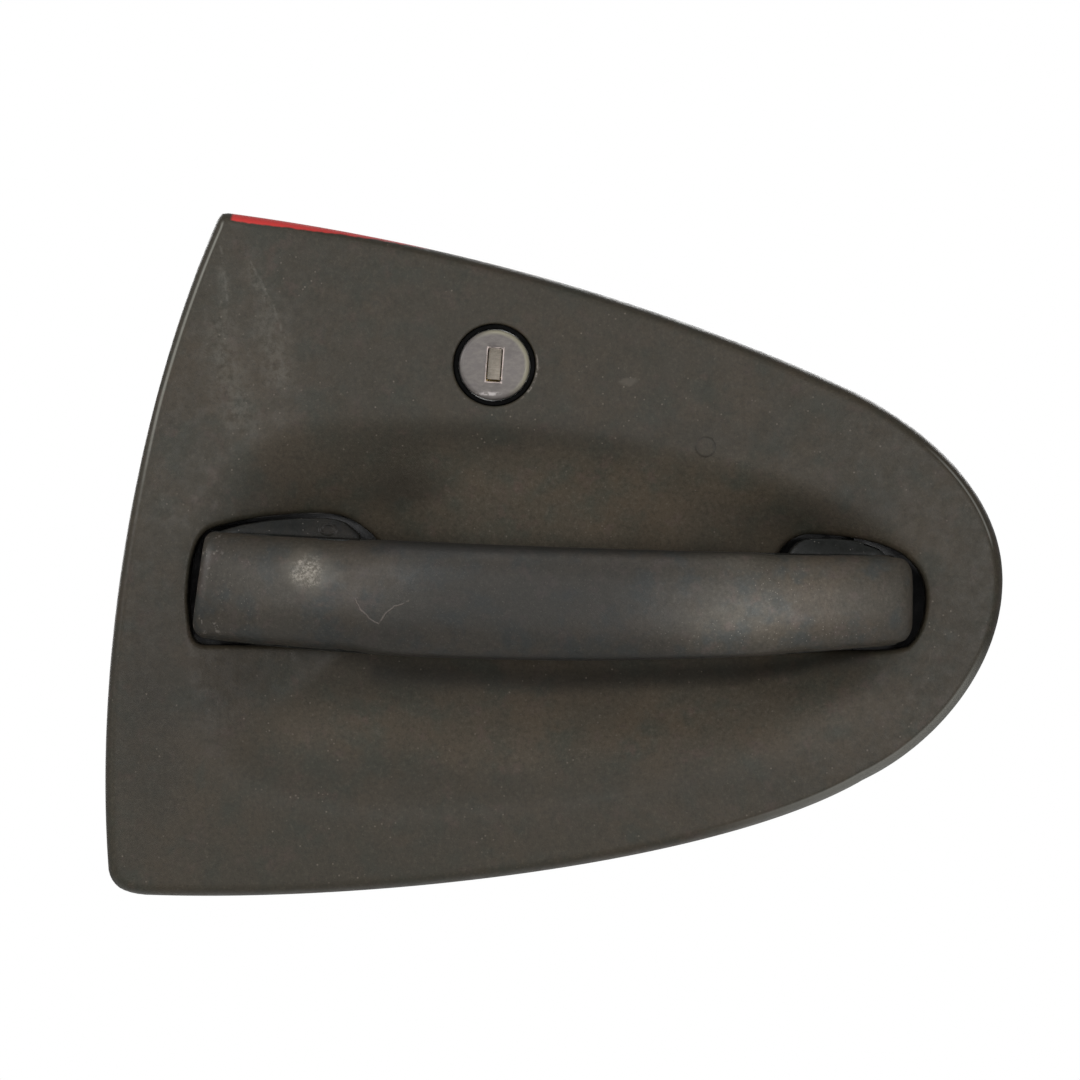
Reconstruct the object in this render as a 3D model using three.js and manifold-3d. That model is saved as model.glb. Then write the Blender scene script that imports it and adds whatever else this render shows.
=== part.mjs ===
// Exterior pull handle of a car door, on its own mounting panel, in millimetres.
// +X runs towards the front of the car, +Y into the door and +Z up. The origin is the centre of the
// opening in the door, on the outer face of the door skin, so the panel lies at Y below 0 and the
// mechanism behind it at Y above 0. The grip hinges at its +X end and is pulled at its -X end.
import * as THREE from "three";
import { mergeVertices } from "three/addons/utils/BufferGeometryUtils.js";
import Module from "manifold-3d";

const wasm = await Module();
wasm.setup();

// ---------------------------------------------------------------- driving dimensions

const GAP = 0.3; // left between pieces that meet
const ROUND = 16; // sides of a small round piece

const GASKET = { thick: 1.8, outer: 0.5, inner: 4.4 }; // insets from the panel's outline
const PANEL = { wall: 2.6, rimWidth: 3.2, rimPower: 2.5, level: 9, crown: 3.5 };
const RIM_Y = -GASKET.thick - 0.1; // the panel's back edge, where it meets the gasket
const RECESS = { depth: 17, power: 1.15 }; // its greatest depth, and how sharply it starts
const SPINE = { x0: -38, x1: 44, z: -13 }; // the deepest line of the finger recess
const CENTRE = { x: 0, z: -14 }; // the rays that the panel is built on start here

const CARRIER = { front: 6, back: 9, rib: 14, ribThick: 1.8, brace: 13 };
const SINK = 0.5; // how far joined parts of one piece go into each other
const FAR = 60; // a cut of this length goes right through
const PLAY = 0.6; // kept free round a piece that moves
const HINGE_COVER = { x0: 58, x1: 94, z0: -27, z1: 9, wall: 1.8 };
const HINGE_WALL = { y: 13.8, thick: 1.6 }; // the carrier's wall behind the grip's hinge
const HINGE_EAR = { x0: 68, x1: 80, y0: 2.5, y1: 14, thick: 4 };
const HINGE_SLOT = { x0: 60, x1: 92 };
const PIN_HEAD_ROOM = { half: 4.2, above: 5.4, below: 4.4 };
const CRANK_EARS = [
  [-85.5, -82],
  [-54, -50.5],
];
const ARM_SLOT = { half: 9, back: 16, z0: -18, z1: 7.4 };
const STUD_PAD = { radius: 8, bore: 3.15 };
const PANEL_SCREW = { bore: 2.1, headRoom: 4.2 };
const PAD_Y = 15; // the faces that the studs pull against the door's inner frame
const SLEEVE = { thick: 1.8, start: -11, hingeEnd: 1 }; // walls that run back from the two openings
const PANEL_BOSS = { radius: 3.6, pilot: 1.6 }; // for the screws that hold the carrier
const RIB_Y = { front: -12, back: -2.6 };
const LOCK_TUBE = { radius: 12.8, shoulder: -4.8, slack: 0.35 };

const LOCK = { x: -15.7, z: 49, tilt: 4.3, face: 9.1, hole: 10.7, housing: 9.6 };
const HINGE = { x: 74, y: 8, pin: 2, knuckle: 5, z0: -19, z1: -3 };
const PULL_ANGLE = 9.5; // degrees that the grip turns when it is pulled right out
const CRANK = { y: 20, z: 24, x0: -81.5, x1: -54.5, pin: 2.5, reach: 31, lean: 22.7 };
const ARM = { x: -69, width: 10, z0: -16, z1: -10, tip: 38, face: 34.5, lipTop: -5.2 };

const PANEL_SCREWS = [
  [-104, -8],
  [-60, 62],
  [34, 46],
  [104, -4],
  [-104, -44],
];
const STUDS = [
  [-84, 56],
  [76, 26],
  [-97, -60],
];
const GRIP_SCREWS = [-57, 67]; // X of each, at the height of the grip's middle
const GRIP_MIDDLE_Z = -10.5;

// ---------------------------------------------------------------- materials

const plastic = (color) => new THREE.MeshStandardMaterial({ color, roughness: 0.6, metalness: 0 });
const metal = (color, roughness) =>
  new THREE.MeshStandardMaterial({ color, roughness, metalness: 1 });
const MATERIAL = {
  panel: plastic(0x45423c),
  grip: plastic(0x484540),
  frame: plastic(0x2b2b2b),
  rubber: new THREE.MeshStandardMaterial({ color: 0x161616, roughness: 0.9, metalness: 0 }),
  bush: plastic(0xd8d3c4),
  clip: plastic(0xd9b23a),
  lockFace: metal(0x8c8680, 0.45),
  zinc: metal(0x9a9a98, 0.5),
  steel: metal(0xb4b2ad, 0.35),
  spring: metal(0x77787a, 0.35),
  brass: metal(0xb89b55, 0.4),
};

// ---------------------------------------------------------------- solids

// A closed geometry as a solid, turned the right way out.
function solid(geometry) {
  const bare = geometry.clone();
  for (const name of ["normal", "uv"]) bare.deleteAttribute(name);
  const merged = mergeVertices(bare, 1e-4);
  const vertProperties = new Float32Array(merged.attributes.position.array);
  const triVerts = new Uint32Array(merged.index.array);
  const made = new wasm.Manifold(new wasm.Mesh({ numProp: 3, vertProperties, triVerts }));
  if (made.volume() > 0) return made;
  return new wasm.Manifold(
    new wasm.Mesh({ numProp: 3, vertProperties, triVerts: triVerts.reverse() }),
  );
}

function geometryOf(shape) {
  const mesh = shape.getMesh();
  const geometry = new THREE.BufferGeometry();
  geometry.setAttribute("position", new THREE.BufferAttribute(mesh.vertProperties, 3));
  geometry.setIndex(new THREE.BufferAttribute(mesh.triVerts, 1));
  geometry.computeVertexNormals();
  return geometry;
}

const join = (...shapes) => shapes.reduce((a, b) => a.add(b));

const moved = (shape, x, y, z) => solid(geometryOf(shape).translate(x, y, z));

const AXIS = {
  X: new THREE.Matrix4().makeBasis(
    new THREE.Vector3(0, 1, 0),
    new THREE.Vector3(0, 0, 1),
    new THREE.Vector3(1, 0, 0),
  ),
  Y: new THREE.Matrix4().makeRotationX(Math.PI / 2),
  Z: new THREE.Matrix4(),
};

// A prism along an axis. Its shape is drawn in (Y, Z), (X, Z) or (X, Y), for X, Y and Z.
function prism(axis, shape, low, high, curveSegments = 6) {
  const depth = high - low;
  const flat = new THREE.ExtrudeGeometry(shape, { depth, bevelEnabled: false, curveSegments });
  flat.applyMatrix4(AXIS[axis]);
  const start = axis === "Y" ? high : low; // the turn to Y points the extrusion backwards
  const shift = { X: [start, 0, 0], Y: [0, start, 0], Z: [0, 0, start] }[axis];
  return solid(flat.translate(...shift));
}

// A body of revolution about an axis, from [radius, place on the axis] pairs that close on themselves.
function lathe(axis, profile, sides = ROUND) {
  const points = profile.map(([r, a]) => new THREE.Vector2(r, a));
  if (profile[0][0] > 0) points.push(points[0].clone());
  const turned = new THREE.LatheGeometry(points, sides);
  if (axis === "X") turned.rotateZ(-Math.PI / 2);
  if (axis === "Z") turned.rotateX(Math.PI / 2);
  return solid(turned);
}

const rod = (axis, r, low, high, sides = ROUND) =>
  lathe(axis, [[0, low], [r, low], [r, high], [0, high]], sides);

const pipe = (axis, inner, outer, low, high, sides = ROUND) =>
  lathe(axis, [[inner, low], [outer, low], [outer, high], [inner, high]], sides);

function block(x0, x1, y0, y1, z0, z1) {
  const box = new THREE.BoxGeometry(x1 - x0, y1 - y0, z1 - z0);
  return solid(box.translate((x0 + x1) / 2, (y0 + y1) / 2, (z0 + z1) / 2));
}

// A closed surface through rings of equally many points, with its two end rings capped.
function loft(rings, cap = capOf) {
  const n = rings[0].length;
  const index = [];
  for (let r = 0; r + 1 < rings.length; r++) {
    for (let i = 0; i < n; i++) {
      const j = (i + 1) % n;
      const [a, b, c, d] = [r * n + i, r * n + j, (r + 1) * n + j, (r + 1) * n + i];
      index.push(a, b, c, a, c, d);
    }
  }
  const last = (rings.length - 1) * n;
  for (const [a, b, c] of cap(rings[0])) index.push(c, b, a);
  for (const [a, b, c] of cap(rings.at(-1))) index.push(last + a, last + b, last + c);
  const geometry = new THREE.BufferGeometry().setFromPoints(rings.flat());
  return solid(geometry.setIndex(index));
}

// Triangles that fill a ring, facing the way that its points turn about.
function capOf(ring) {
  const normal = new THREE.Vector3();
  ring.forEach((p, i) => {
    const q = ring[(i + 1) % ring.length];
    normal.add(new THREE.Vector3().crossVectors(p, q));
  });
  const flat = new THREE.Matrix4().lookAt(normal, new THREE.Vector3(), new THREE.Vector3(0, 0.1, 1));
  const back = flat.invert();
  const contour = ring.map((p) => {
    const q = p.clone().applyMatrix4(back);
    return new THREE.Vector2(q.x, q.y);
  });
  return THREE.ShapeUtils.triangulateShape(contour, []);
}

// Triangles straight across a long ring, from its low-X end to its high-X end.
function stripCap(ring) {
  const n = ring.length;
  const start = ring.reduce((best, p, i) => (p.x < ring[best].x ? i : best), 0);
  const at = (i) => (start + i) % n;
  const triangles = [[at(0), at(1), at(n - 1)]];
  let [ahead, behind] = [1, n - 1];
  while (ahead + 1 < behind) {
    if (ring[at(ahead + 1)].x < ring[at(behind - 1)].x) {
      triangles.push([at(ahead), at(ahead + 1), at(behind)]);
      ahead += 1;
    } else {
      triangles.push([at(ahead), at(behind - 1), at(behind)]);
      behind -= 1;
    }
  }
  return triangles;
}

// ---------------------------------------------------------------- flat outlines

const loopShape = (points) => new THREE.Shape(points);

// A shape between two loops that turn the same way.
function ringShape(outer, inner) {
  const shape = new THREE.Shape(outer);
  shape.holes.push(new THREE.Path([...inner].reverse()));
  return shape;
}

// A loop of points moved outwards by a distance, or inwards if it is negative.
function offsetLoop(points, distance) {
  const way = THREE.ShapeUtils.isClockWise(points) ? -1 : 1;
  return points.map((p, i) => {
    const before = points.at(i - 1);
    const after = points[(i + 1) % points.length];
    const a = p.clone().sub(before).normalize();
    const b = after.clone().sub(p).normalize();
    const normal = new THREE.Vector2(a.y + b.y, -a.x - b.x).normalize().multiplyScalar(way);
    const spread = Math.max(0.5, normal.x * a.y * way - normal.y * a.x * way);
    return p.clone().addScaledVector(normal, distance / spread);
  });
}

// Two circles and the straight sides that touch both: a lever's outline.
function leverShape(ax, ay, ra, bx, by, rb) {
  const along = Math.atan2(by - ay, bx - ax);
  const side = Math.acos((ra - rb) / Math.hypot(bx - ax, by - ay));
  const shape = new THREE.Shape();
  shape.absarc(ax, ay, ra, along + side, along - side + 2 * Math.PI, false);
  shape.absarc(bx, by, rb, along - side, along + side, false);
  return shape;
}

function circleHole(x, y, r) {
  return new THREE.Path().absarc(x, y, r, 0, 2 * Math.PI, true);
}

// A ring with a mouth, such as a retaining clip's, that opens towards an angle in degrees.
function openRing(inner, outer, mouth, towards) {
  const from = THREE.MathUtils.degToRad(towards + mouth / 2);
  const to = THREE.MathUtils.degToRad(towards - mouth / 2 + 360);
  const shape = new THREE.Shape();
  shape.absarc(0, 0, outer, from, to, false);
  shape.absarc(0, 0, inner, to, from, true);
  return shape;
}

// ---------------------------------------------------------------- the panel's surface

// The panel's outer edge, seen from outside: X to the right and Z up.
const outline = new THREE.Path()
  .moveTo(-85, 88.7)
  .bezierCurveTo(-29.2, 81.3, 26, 66, 75.4, 43.4)
  .bezierCurveTo(94.4, 34.5, 116.5, 17.2, 116.5, -6.8)
  .bezierCurveTo(116.5, -29.1, 99.4, -49.7, 80.1, -58.8)
  .bezierCurveTo(44.2, -79.9, -45.5, -90.9, -106.6, -88.7)
  .quadraticCurveTo(-115.4, -88.2, -116.2, -82.2)
  .bezierCurveTo(-120.3, -28.3, -109.2, 39, -87.6, 87.4)
  .quadraticCurveTo(-87, 89, -85, 88.7);
const OUTLINE_STEPS = [12, 6, 6, 13, 3, 9, 2];

// The edge of the finger recess.
const recessEdge = new THREE.Path()
  .moveTo(-95.7, -12)
  .bezierCurveTo(-95.7, 36.9, -61.2, 34.6, -35.1, 34.6)
  .bezierCurveTo(6.6, 34.6, 96.5, 18.3, 96.5, -9.4)
  .bezierCurveTo(96.5, -55.5, -5.4, -67.1, -29.9, -67.1)
  .bezierCurveTo(-96.1, -67.1, -95.7, -52.4, -95.7, -12);

const outlineFine = outline.getPoints(24);
const recessFine = recessEdge.getPoints(32);
const outlineLoop = outline.curves.flatMap((c, i) => c.getPoints(OUTLINE_STEPS[i]).slice(0, -1));
const rays = outlineLoop.map((p) => Math.atan2(p.y - CENTRE.z, p.x - CENTRE.x));

function distanceTo(polyline, x, z) {
  let nearest = Infinity;
  for (let i = 0; i + 1 < polyline.length; i++) {
    const [a, b] = [polyline[i], polyline[i + 1]];
    const [dx, dz] = [b.x - a.x, b.y - a.y];
    const along = ((x - a.x) * dx + (z - a.y) * dz) / (dx * dx + dz * dz || 1);
    const t = THREE.MathUtils.clamp(along, 0, 1);
    nearest = Math.min(nearest, Math.hypot(x - a.x - t * dx, z - a.y - t * dz));
  }
  return nearest;
}

// How far a ray from the centre runs before it crosses a closed line.
function rayLength(polyline, angle) {
  const [ux, uz] = [Math.cos(angle), Math.sin(angle)];
  for (let i = 0; i + 1 < polyline.length; i++) {
    const [ax, az] = [polyline[i].x - CENTRE.x, polyline[i].y - CENTRE.z];
    const [bx, bz] = [polyline[i + 1].x - CENTRE.x, polyline[i + 1].y - CENTRE.z];
    const [sideA, sideB] = [ux * az - uz * ax, ux * bz - uz * bx];
    if (sideA * sideB > 0 || sideA === sideB) continue;
    const t = sideA / (sideA - sideB);
    const length = ux * (ax + t * (bx - ax)) + uz * (az + t * (bz - az));
    if (length > 0) return length;
  }
  throw new Error("a ray misses the line");
}

const onRay = (angle, length) =>
  new THREE.Vector2(CENTRE.x + Math.cos(angle) * length, CENTRE.z + Math.sin(angle) * length);

// The outline moved inwards, with its points on the same rays.
function insetLoop(inset) {
  return rays.map((angle, i) => {
    let [low, high] = [0, outlineLoop[i].distanceTo(new THREE.Vector2(CENTRE.x, CENTRE.z))];
    if (inset === 0) return outlineLoop[i].clone();
    for (let step = 0; step < 24; step++) {
      const middle = (low + high) / 2;
      const p = onRay(angle, middle);
      if (distanceTo(outlineFine, p.x, p.y) > inset) low = middle;
      else high = middle;
    }
    return onRay(angle, low);
  });
}

const recessLoop = rays.map((angle) => onRay(angle, rayLength(recessFine, angle)));

// The crease that parts the main face from the flank along the rear edge: its X at a height.
function creaseX(z) {
  if (z > 38) return -66.5 - 0.0072 * (z - 38) ** 2;
  return Math.max(-66.5 - 0.85 * (38 - z), -94);
}

// Y of the face before the recess is sunk into it.
function faceLevel(x, z) {
  const crown = PANEL.crown * (1 - (x / 125) ** 2) * (1 - (z / 100) ** 2);
  const beyond = creaseX(z) - x;
  const flankWidth = (beyond + Math.hypot(beyond, 4)) / 2;
  const steepness = 0.05 + 0.08 * THREE.MathUtils.smoothstep(z, -30, 30);
  return -PANEL.level - crown + steepness * flankWidth;
}

// How deep the recess is: 0 at its edge and 1 on the spine.
function recessShare(x, z) {
  const toEdge = distanceTo(recessFine, x, z);
  const nearX = THREE.MathUtils.clamp(x, SPINE.x0, SPINE.x1);
  const toSpine = Math.hypot(x - nearX, z - SPINE.z);
  return Math.sin((Math.PI / 2) * (toEdge / (toEdge + toSpine))) ** RECESS.power;
}

const recessY = (x, z) => faceLevel(x, z) + RECESS.depth * recessShare(x, z);

const point3 = (p, y) => new THREE.Vector3(p.x, y, p.y);

const RIM_TURNS = [0, 30, 60, 90]; // degrees round the rim's quarter superellipse
const FACE_STEPS = [0.4, 1]; // from the rim to the recess's edge
const RECESS_STEPS = [0.12, 0.3, 0.5, 0.72, 0.92]; // from there to the spine

// Rings of the front surface, from the panel's edge to the bottom of the recess.
function frontRings() {
  const rings = RIM_TURNS.map((turn) => {
    const t = THREE.MathUtils.degToRad(turn);
    const inset = PANEL.rimWidth * (1 - Math.max(Math.cos(t), 0) ** (2 / PANEL.rimPower));
    const rise = Math.sin(t) ** (2 / PANEL.rimPower);
    return insetLoop(inset).map((p) => point3(p, RIM_Y + rise * (faceLevel(p.x, p.y) - RIM_Y)));
  });
  return [...rings, ...innerRings(insetLoop(PANEL.rimWidth), 0)];
}

// Rings from a loop near the edge to the bottom of the recess, moved back by a wall thickness.
function innerRings(start, wall) {
  const face = FACE_STEPS.map((step) =>
    start.map((p, i) => {
      const q = p.clone().lerp(recessLoop[i], step);
      return point3(q, faceLevel(q.x, q.y) + wall);
    }),
  );
  const recess = RECESS_STEPS.map((step) =>
    recessLoop.map((p) => {
      const nearX = THREE.MathUtils.clamp(p.x, SPINE.x0, SPINE.x1);
      const q = p.clone().lerp(new THREE.Vector2(nearX, SPINE.z), step);
      return point3(q, recessY(q.x, q.y) + wall);
    }),
  );
  return [...face, ...recess];
}

// Everything in front of the panel's front surface, when that is moved back by a distance.
function spaceInFront(back) {
  const surface = frontRings().map((ring) =>
    ring.map((p) => new THREE.Vector3(p.x, p.y + back, p.z)),
  );
  const rim = surface[0];
  const far = rim.map((p) => new THREE.Vector3(p.x, -FAR, p.z));
  return loft([far, ...surface], (ring) => (ring === far ? capOf(ring) : stripCap(ring)));
}

// The openings that the two ends of the grip go through.
const pullPocket = new THREE.Path()
  .moveTo(-94.6, -20)
  .lineTo(-95.4, -12)
  .quadraticCurveTo(-95, 5.5, -88.5, 7)
  .quadraticCurveTo(-74, 11.2, -58, 10.4)
  .quadraticCurveTo(-53, 10, -47.5, 5)
  .lineTo(-45, 0)
  .lineTo(-45, -20)
  .quadraticCurveTo(-45, -23.5, -49, -23.8)
  .lineTo(-91, -23.6)
  .quadraticCurveTo(-94.2, -23.4, -94.6, -20);
const hingePocket = new THREE.Path()
  .moveTo(57, -3)
  .quadraticCurveTo(60, 5.4, 67, 5.2)
  .quadraticCurveTo(84, 4.5, 91, -0.5)
  .quadraticCurveTo(96.8, -5, 96.4, -12.5)
  .quadraticCurveTo(96, -20.5, 91.5, -24)
  .lineTo(88, -25)
  .lineTo(62, -25)
  .quadraticCurveTo(57, -25, 57, -20);
const pocketLoop = (path) => path.getPoints(4).filter((p, i, all) => i === 0 || !p.equals(all[0]));

// ---------------------------------------------------------------- panel and its seals

function panelShell() {
  const back = [
    insetLoop(PANEL.wall).map((p) => point3(p, RIM_Y)),
    insetLoop(PANEL.wall + 1.4).map((p) => point3(p, faceLevel(p.x, p.y) + PANEL.wall)),
  ];
  const inner = innerRings(insetLoop(PANEL.wall + 1.4), PANEL.wall);
  return loft([...frontRings().reverse(), ...back, ...inner], stripCap);
}

// Stiffening ribs on the back of the panel, as [x0, x1, z0, z1] of each.
const RIBS = [
  [-70, -68.6, -86, -66],
  [-30, -28.6, -86, -68],
  [10, 11.4, -84, -63],
  [48, 49.4, -76, -54],
  [-76, -74.6, 30, 84],
  [4, 5.4, 34, 70],
  [60, 61.4, 22, 52],
  [-114, -96, -27, -25.6],
];

function panelBack() {
  const sleeve = (path, depth) => {
    const loop = offsetLoop(pocketLoop(path), SLEEVE.thick);
    return prism("Y", loopShape(loop), SLEEVE.start, depth);
  };
  const bosses = PANEL_SCREWS.map(([x, z]) =>
    moved(rod("Y", PANEL_BOSS.radius, SLEEVE.start, CARRIER.front - GAP, 12), x, 0, z),
  );
  const ribs = RIBS.map(([x0, x1, z0, z1]) => block(x0, x1, RIB_Y.front, RIB_Y.back, z0, z1));
  const tube = rod("Y", LOCK_TUBE.radius, RIB_Y.front, CARRIER.front - GAP, 24);
  const lockTube = moved(tube, LOCK.x, 0, LOCK.z);
  const raised = join(
    sleeve(pullPocket, CARRIER.front - 0.4),
    sleeve(hingePocket, SLEEVE.hingeEnd),
    lockTube,
    ...bosses,
    ...ribs,
  );
  const inside = prism("Y", loopShape(insetLoop(PANEL.wall - 0.8)), -20, 20);
  return raised.intersect(inside).subtract(spaceInFront(PANEL.wall / 2));
}

function panel() {
  const lockHole = moved(
    join(
      rod("Y", LOCK.hole, -30, LOCK_TUBE.shoulder, 28),
      rod("Y", LOCK.housing + LOCK_TUBE.slack, LOCK_TUBE.shoulder - 1, 20, 28),
    ),
    LOCK.x,
    0,
    LOCK.z,
  );
  const pilots = PANEL_SCREWS.map(([x, z]) => moved(rod("Y", PANEL_BOSS.pilot, -4, 10, 8), x, 0, z));
  const pockets = [pullPocket, hingePocket].map((path) =>
    prism("Y", loopShape(pocketLoop(path)), -30, 30),
  );
  return panelShell().add(panelBack()).subtract(join(lockHole, ...pilots, ...pockets));
}

function gasket() {
  const ring = ringShape(insetLoop(GASKET.outer), insetLoop(GASKET.inner));
  return prism("Y", ring, -GASKET.thick, 0);
}

// ---------------------------------------------------------------- carrier frame

const carrierEdge = new THREE.Path()
  .moveTo(-106.5, -70)
  .quadraticCurveTo(-107, -10, -95, 48)
  .quadraticCurveTo(-90, 72, -80, 75)
  .quadraticCurveTo(-20, 71, 34, 53.5)
  .quadraticCurveTo(82, 36, 100, 17)
  .quadraticCurveTo(112, 0, 108, -17)
  .quadraticCurveTo(103, -38, 84, -44)
  .lineTo(62, -40)
  .quadraticCurveTo(53, -38, 52, -28)
  .lineTo(52, 10)
  .quadraticCurveTo(50, 22, 30, 25)
  .lineTo(-26, 29)
  .quadraticCurveTo(-42, 29, -43, 18)
  .lineTo(-43, -22)
  .quadraticCurveTo(-43, -31, -56, -31)
  .quadraticCurveTo(-80, -32, -82, -50)
  .lineTo(-84, -70)
  .quadraticCurveTo(-95, -73, -106.5, -70);

// Braces across the carrier's plate, as [x0, x1, z0, z1] of each.
const BRACES = [
  [-42, -40.4, 30, 73],
  [12, 13.6, 27, 60],
  [44, 45.4, 24, 49],
  [-98, -86, -31, -29.6],
];

// The box on the carrier's back that closes off the opening for the grip's hinge.
function hingeCover() {
  const { x0, x1, z0, z1, wall } = HINGE_COVER;
  const side = (a, b, c, d) => block(a, b, CARRIER.back - SINK, HINGE_WALL.y + SINK, c, d);
  return join(
    block(x0, x1, HINGE_WALL.y, HINGE_WALL.y + HINGE_WALL.thick, z0, z1),
    side(x0, x0 + wall, z0, z1),
    side(x1 - wall, x1, z0, z1),
    side(x0, x1, z1 - wall, z1),
    side(x0, x1, z0, z0 + wall),
  );
}

function carrier() {
  const edge = carrierEdge.getPoints(4).slice(0, -1);
  const plate = prism("Y", loopShape(edge), CARRIER.front, CARRIER.back);
  const inner = offsetLoop(edge, -CARRIER.ribThick);
  const flange = prism("Y", ringShape(edge, inner), CARRIER.back - SINK, CARRIER.rib);
  const hingeEar = (z0) => {
    const { x0, x1, y0, y1, thick } = HINGE_EAR;
    return block(x0, x1, y0, y1, z0, z0 + thick);
  };
  const crankEar = (x0, x1) => {
    const ear = leverShape(CRANK.y, CRANK.z, 6, CARRIER.back - 1, CRANK.z, 9);
    return prism("X", ear, x0, x1);
  };
  const lockSleeve = moved(rod("Y", 13.5, CARRIER.back - SINK, 20, 24), LOCK.x, 0, LOCK.z);
  const pads = STUDS.map(([x, z]) => 
    moved(rod("Y", STUD_PAD.radius, CARRIER.front, PAD_Y, 16), x, 0, z),
  );
  const braces = BRACES.map(([x0, x1, z0, z1]) =>
    block(x0, x1, CARRIER.back - SINK, CARRIER.brace, z0, z1),
  );
  const solidParts = join(
    plate,
    flange,
    hingeEar(HINGE.z1 + PLAY),
    hingeEar(HINGE.z0 - PLAY - HINGE_EAR.thick),
    ...CRANK_EARS.map(([x0, x1]) => crankEar(x0, x1)),
    lockSleeve,
    hingeCover(),
    ...pads,
    ...braces,
  );
  const { half, back, z0: slotLow, z1: slotHigh } = ARM_SLOT;
  const armSlot = block(ARM.x - half, ARM.x + half, 0, back, slotLow, slotHigh);
  const { x0: slotStart, x1: slotEnd } = HINGE_SLOT;
  const hingeSlot = block(slotStart, slotEnd, 0, HINGE_WALL.y, HINGE.z0 - PLAY, HINGE.z1 + PLAY);
  const hingeBore = moved(rod("Z", 3.2, -40, 20), HINGE.x, HINGE.y, 0);
  const crankBore = moved(rod("X", CRANK.pin + 0.2, -90, -40), 0, CRANK.y, CRANK.z);
  const lockBore = moved(
    rod("Y", LOCK.housing + LOCK_TUBE.slack, 0, FAR, 24),
    LOCK.x,
    0,
    LOCK.z,
  );
  const studBores = STUDS.map(([x, z]) => moved(rod("Y", STUD_PAD.bore, 0, FAR, 14), x, 0, z));
  const screwBores = PANEL_SCREWS.map(([x, z]) =>
    moved(rod("Y", PANEL_SCREW.bore, 0, FAR, 10), x, 0, z),
  );
  const headRoom = PANEL_SCREWS.map(([x, z]) =>
    moved(rod("Y", PANEL_SCREW.headRoom, CARRIER.back, FAR, 12), x, 0, z),
  );
  const pocketFloors = [pullPocket, hingePocket].map((path) =>
    prism("Y", loopShape(offsetLoop(pocketLoop(path), -PLAY)), -FAR, FAR),
  );
  const room = PIN_HEAD_ROOM;
  const earTop = HINGE.z1 + PLAY + HINGE_EAR.thick;
  const earBottom = HINGE.z0 - PLAY - HINGE_EAR.thick;
  const pinRoom = [
    [earTop, earTop + room.above],
    [earBottom - room.below, earBottom],
  ].map(([z0, z1]) =>
    block(
      HINGE.x - room.half,
      HINGE.x + room.half,
      HINGE.y - room.half,
      HINGE.y + room.half,
      z0,
      z1,
    ),
  );
  return solidParts.subtract(
    join(
      spaceInFront(PANEL.wall + 0.8).subtract(join(...pocketFloors)),
      armSlot,
      hingeSlot,
      hingeBore,
      crankBore,
      lockBore,
      ...pinRoom,
      ...studBores,
      ...screwBores,
      ...headRoom,
    ),
  );
}

function studSolid() {
  const profile = [[0, 3.6], [6.4, 3.6], [6.4, 5.8], [3, 5.8], [3, 29], [2.3, 30], [0, 30]];
  return lathe("Y", profile, 12);
}

// A pan-head screw that points along -Y, with its head's seat at Y 0.
function screwSolid(head, thread, length) {
  const profile = [
    [0, head * 0.66],
    [head * 0.72, head * 0.6],
    [head, head * 0.3],
    [head, 0],
    [thread, 0],
    [thread, 1 - length],
    [0, -length],
  ];
  return lathe("Y", profile, 10);
}

// ---------------------------------------------------------------- grip

const GRIP_TOP = new THREE.CubicBezierCurve(
  new THREE.Vector2(-91, 6.2),
  new THREE.Vector2(-30.4, 2.6),
  new THREE.Vector2(29.4, 0.5),
  new THREE.Vector2(92.5, -0.3),
);
const GRIP_BOTTOM = new THREE.CubicBezierCurve(
  new THREE.Vector2(-93.9, -21.6),
  new THREE.Vector2(-33.6, -29.3),
  new THREE.Vector2(41.2, -28.9),
  new THREE.Vector2(92.5, -23.1),
);
const GRIP = { rise: 13, endY: -17, thick: 13, part: 7.5, wall: 2.3, power: 2.8 };
const END_DRAW = { front: 9, back: 14 }; // how far a section drawn in to nothing would step back
const FOOT = { front: -13, pullBack: 0, hingeBack: -1.5 }; // Y of the feet that go into the pockets
const RIVET = { y: -5, radius: 1.5, bore: 1.7 };
// How far along the grip each section stands, and how much it is drawn in there.
const GRIP_STATIONS = [
  [0, 0.72],
  [0.006, 0.88],
  [0.018, 0.97],
  [0.04, 1],
  [0.1, 1],
  [0.17, 1],
  [0.235, 1],
  [0.28, 1],
  [0.36, 1],
  [0.5, 1],
  [0.64, 1],
  [0.76, 1],
  [0.81, 1],
  [0.86, 1],
  [0.92, 1],
  [0.96, 0.99],
  [0.984, 0.93],
  [0.995, 0.82],
  [1, 0.68],
];

const gripFront = (x) => GRIP.endY - GRIP.rise * (1 - Math.min(1, Math.abs(x / 94)) ** 2.6);

// Y of the grip's back: the bar between the feet, and the feet's own ends beside them.
function gripBack(x) {
  const bar = gripFront(x) + GRIP.thick;
  const pullFoot = 1 - THREE.MathUtils.smoothstep(x, -56, -41);
  const hingeFoot = THREE.MathUtils.smoothstep(x, 50, 63);
  return bar + (FOOT.pullBack - bar) * pullFoot + (FOOT.hingeBack - bar) * hingeFoot;
}

const GRIP_SIDES = 18;

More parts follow.
